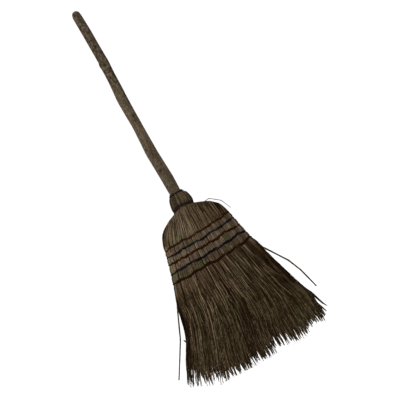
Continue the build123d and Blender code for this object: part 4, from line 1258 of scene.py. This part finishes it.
# -------------------------------------------- the other wires and tacks stay
for node, look in (
    ("collar_binding_wire", WIRE), ("core_binding_wire", WIRE),
    ("shoulder_binding_wire", WIRE), ("wire_tacks", TACK),
):
    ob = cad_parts[node]
    ob.data.materials.clear()
    ob.data.materials.append(look)
    for p in ob.data.polygons:
        p.use_smooth = True

# ------------------------------------------------------------------- stage
def make_floor():
    k = Look("floor_look", rough=0.9, spec=0.1)
    tone = k.noise(k.place(), 0.6, 2.0)
    k.colour(k.mix(tone, (0.15, 0.15, 0.15, 1.0), (0.16, 0.16, 0.16, 1.0)))
    k.bsdf.inputs["Emission Color"].default_value = (1.0, 1.0, 1.0, 1.0)
    k.bsdf.inputs["Emission Strength"].default_value = 0.93
    size, n = 30.0, 24
    g = np.linspace(-size, size, n + 1)
    verts = [(x, y, 0.0) for y in g for x in g]
    faces = [(r * (n + 1) + c, r * (n + 1) + c + 1, (r + 1) * (n + 1) + c + 1, (r + 1) * (n + 1) + c) for r in range(n) for c in range(n)]
    me = bpy.data.meshes.new("floor")
    me.from_pydata(verts, [], faces)
    me.materials.append(k.mat)
    ob = bpy.data.objects.new("floor", me)
    bpy.context.scene.collection.objects.link(ob)
    ob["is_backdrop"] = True


make_floor()

world = bpy.data.worlds.new("studio")
world.use_nodes = True
world.node_tree.nodes["Background"].inputs[0].default_value = (1.0, 1.0, 1.0, 1.0)
world.node_tree.nodes["Background"].inputs[1].default_value = 1.05
scene = bpy.context.scene
scene.world = world
scene.view_settings.view_transform = "Standard"


def soft_light(name, place, aim, size, power):
    d = bpy.data.lights.new(name, "AREA")
    d.shape, d.size, d.energy = "DISK", size, power
    ob = bpy.data.objects.new(name, d)
    ob.location = place
    ob.rotation_euler = (Vector(aim) - Vector(place)).to_track_quat("-Z", "Y").to_euler()
    scene.collection.objects.link(ob)


soft_light("key", (-1.5, -1.7, 1.5), (0.0, 0.0, 0.35), 0.9, 42.0)

# ------------------------------------------------------------------ camera
TILT, LEAN = math.radians(8.0), math.atan2(0.48119, 0.87662)
aim = Vector((0.05134, 0.0, 0.40412))
forward = Vector((0.0, math.cos(TILT), math.sin(TILT)))
level, plumb = Vector((1.0, 0.0, 0.0)), Vector((0.0, -math.sin(TILT), math.cos(TILT)))
right = math.cos(LEAN) * level - math.sin(LEAN) * plumb
top = math.sin(LEAN) * level + math.cos(LEAN) * plumb
spot = aim - 2.0 * forward
cam_data = bpy.data.cameras.new("camera")
cam_data.lens, cam_data.sensor_width, cam_data.sensor_fit = 75.0, 36.0, "HORIZONTAL"
cam_data.clip_end = 200.0
cam = bpy.data.objects.new("camera", cam_data)
scene.collection.objects.link(cam)
cam.matrix_world = Matrix((
    (right.x, top.x, -forward.x, spot.x), (right.y, top.y, -forward.y, spot.y), (right.z, top.z, -forward.z, spot.z), (0.0, 0.0, 0.0, 1.0),
))
scene.camera = cam

lo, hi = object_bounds()
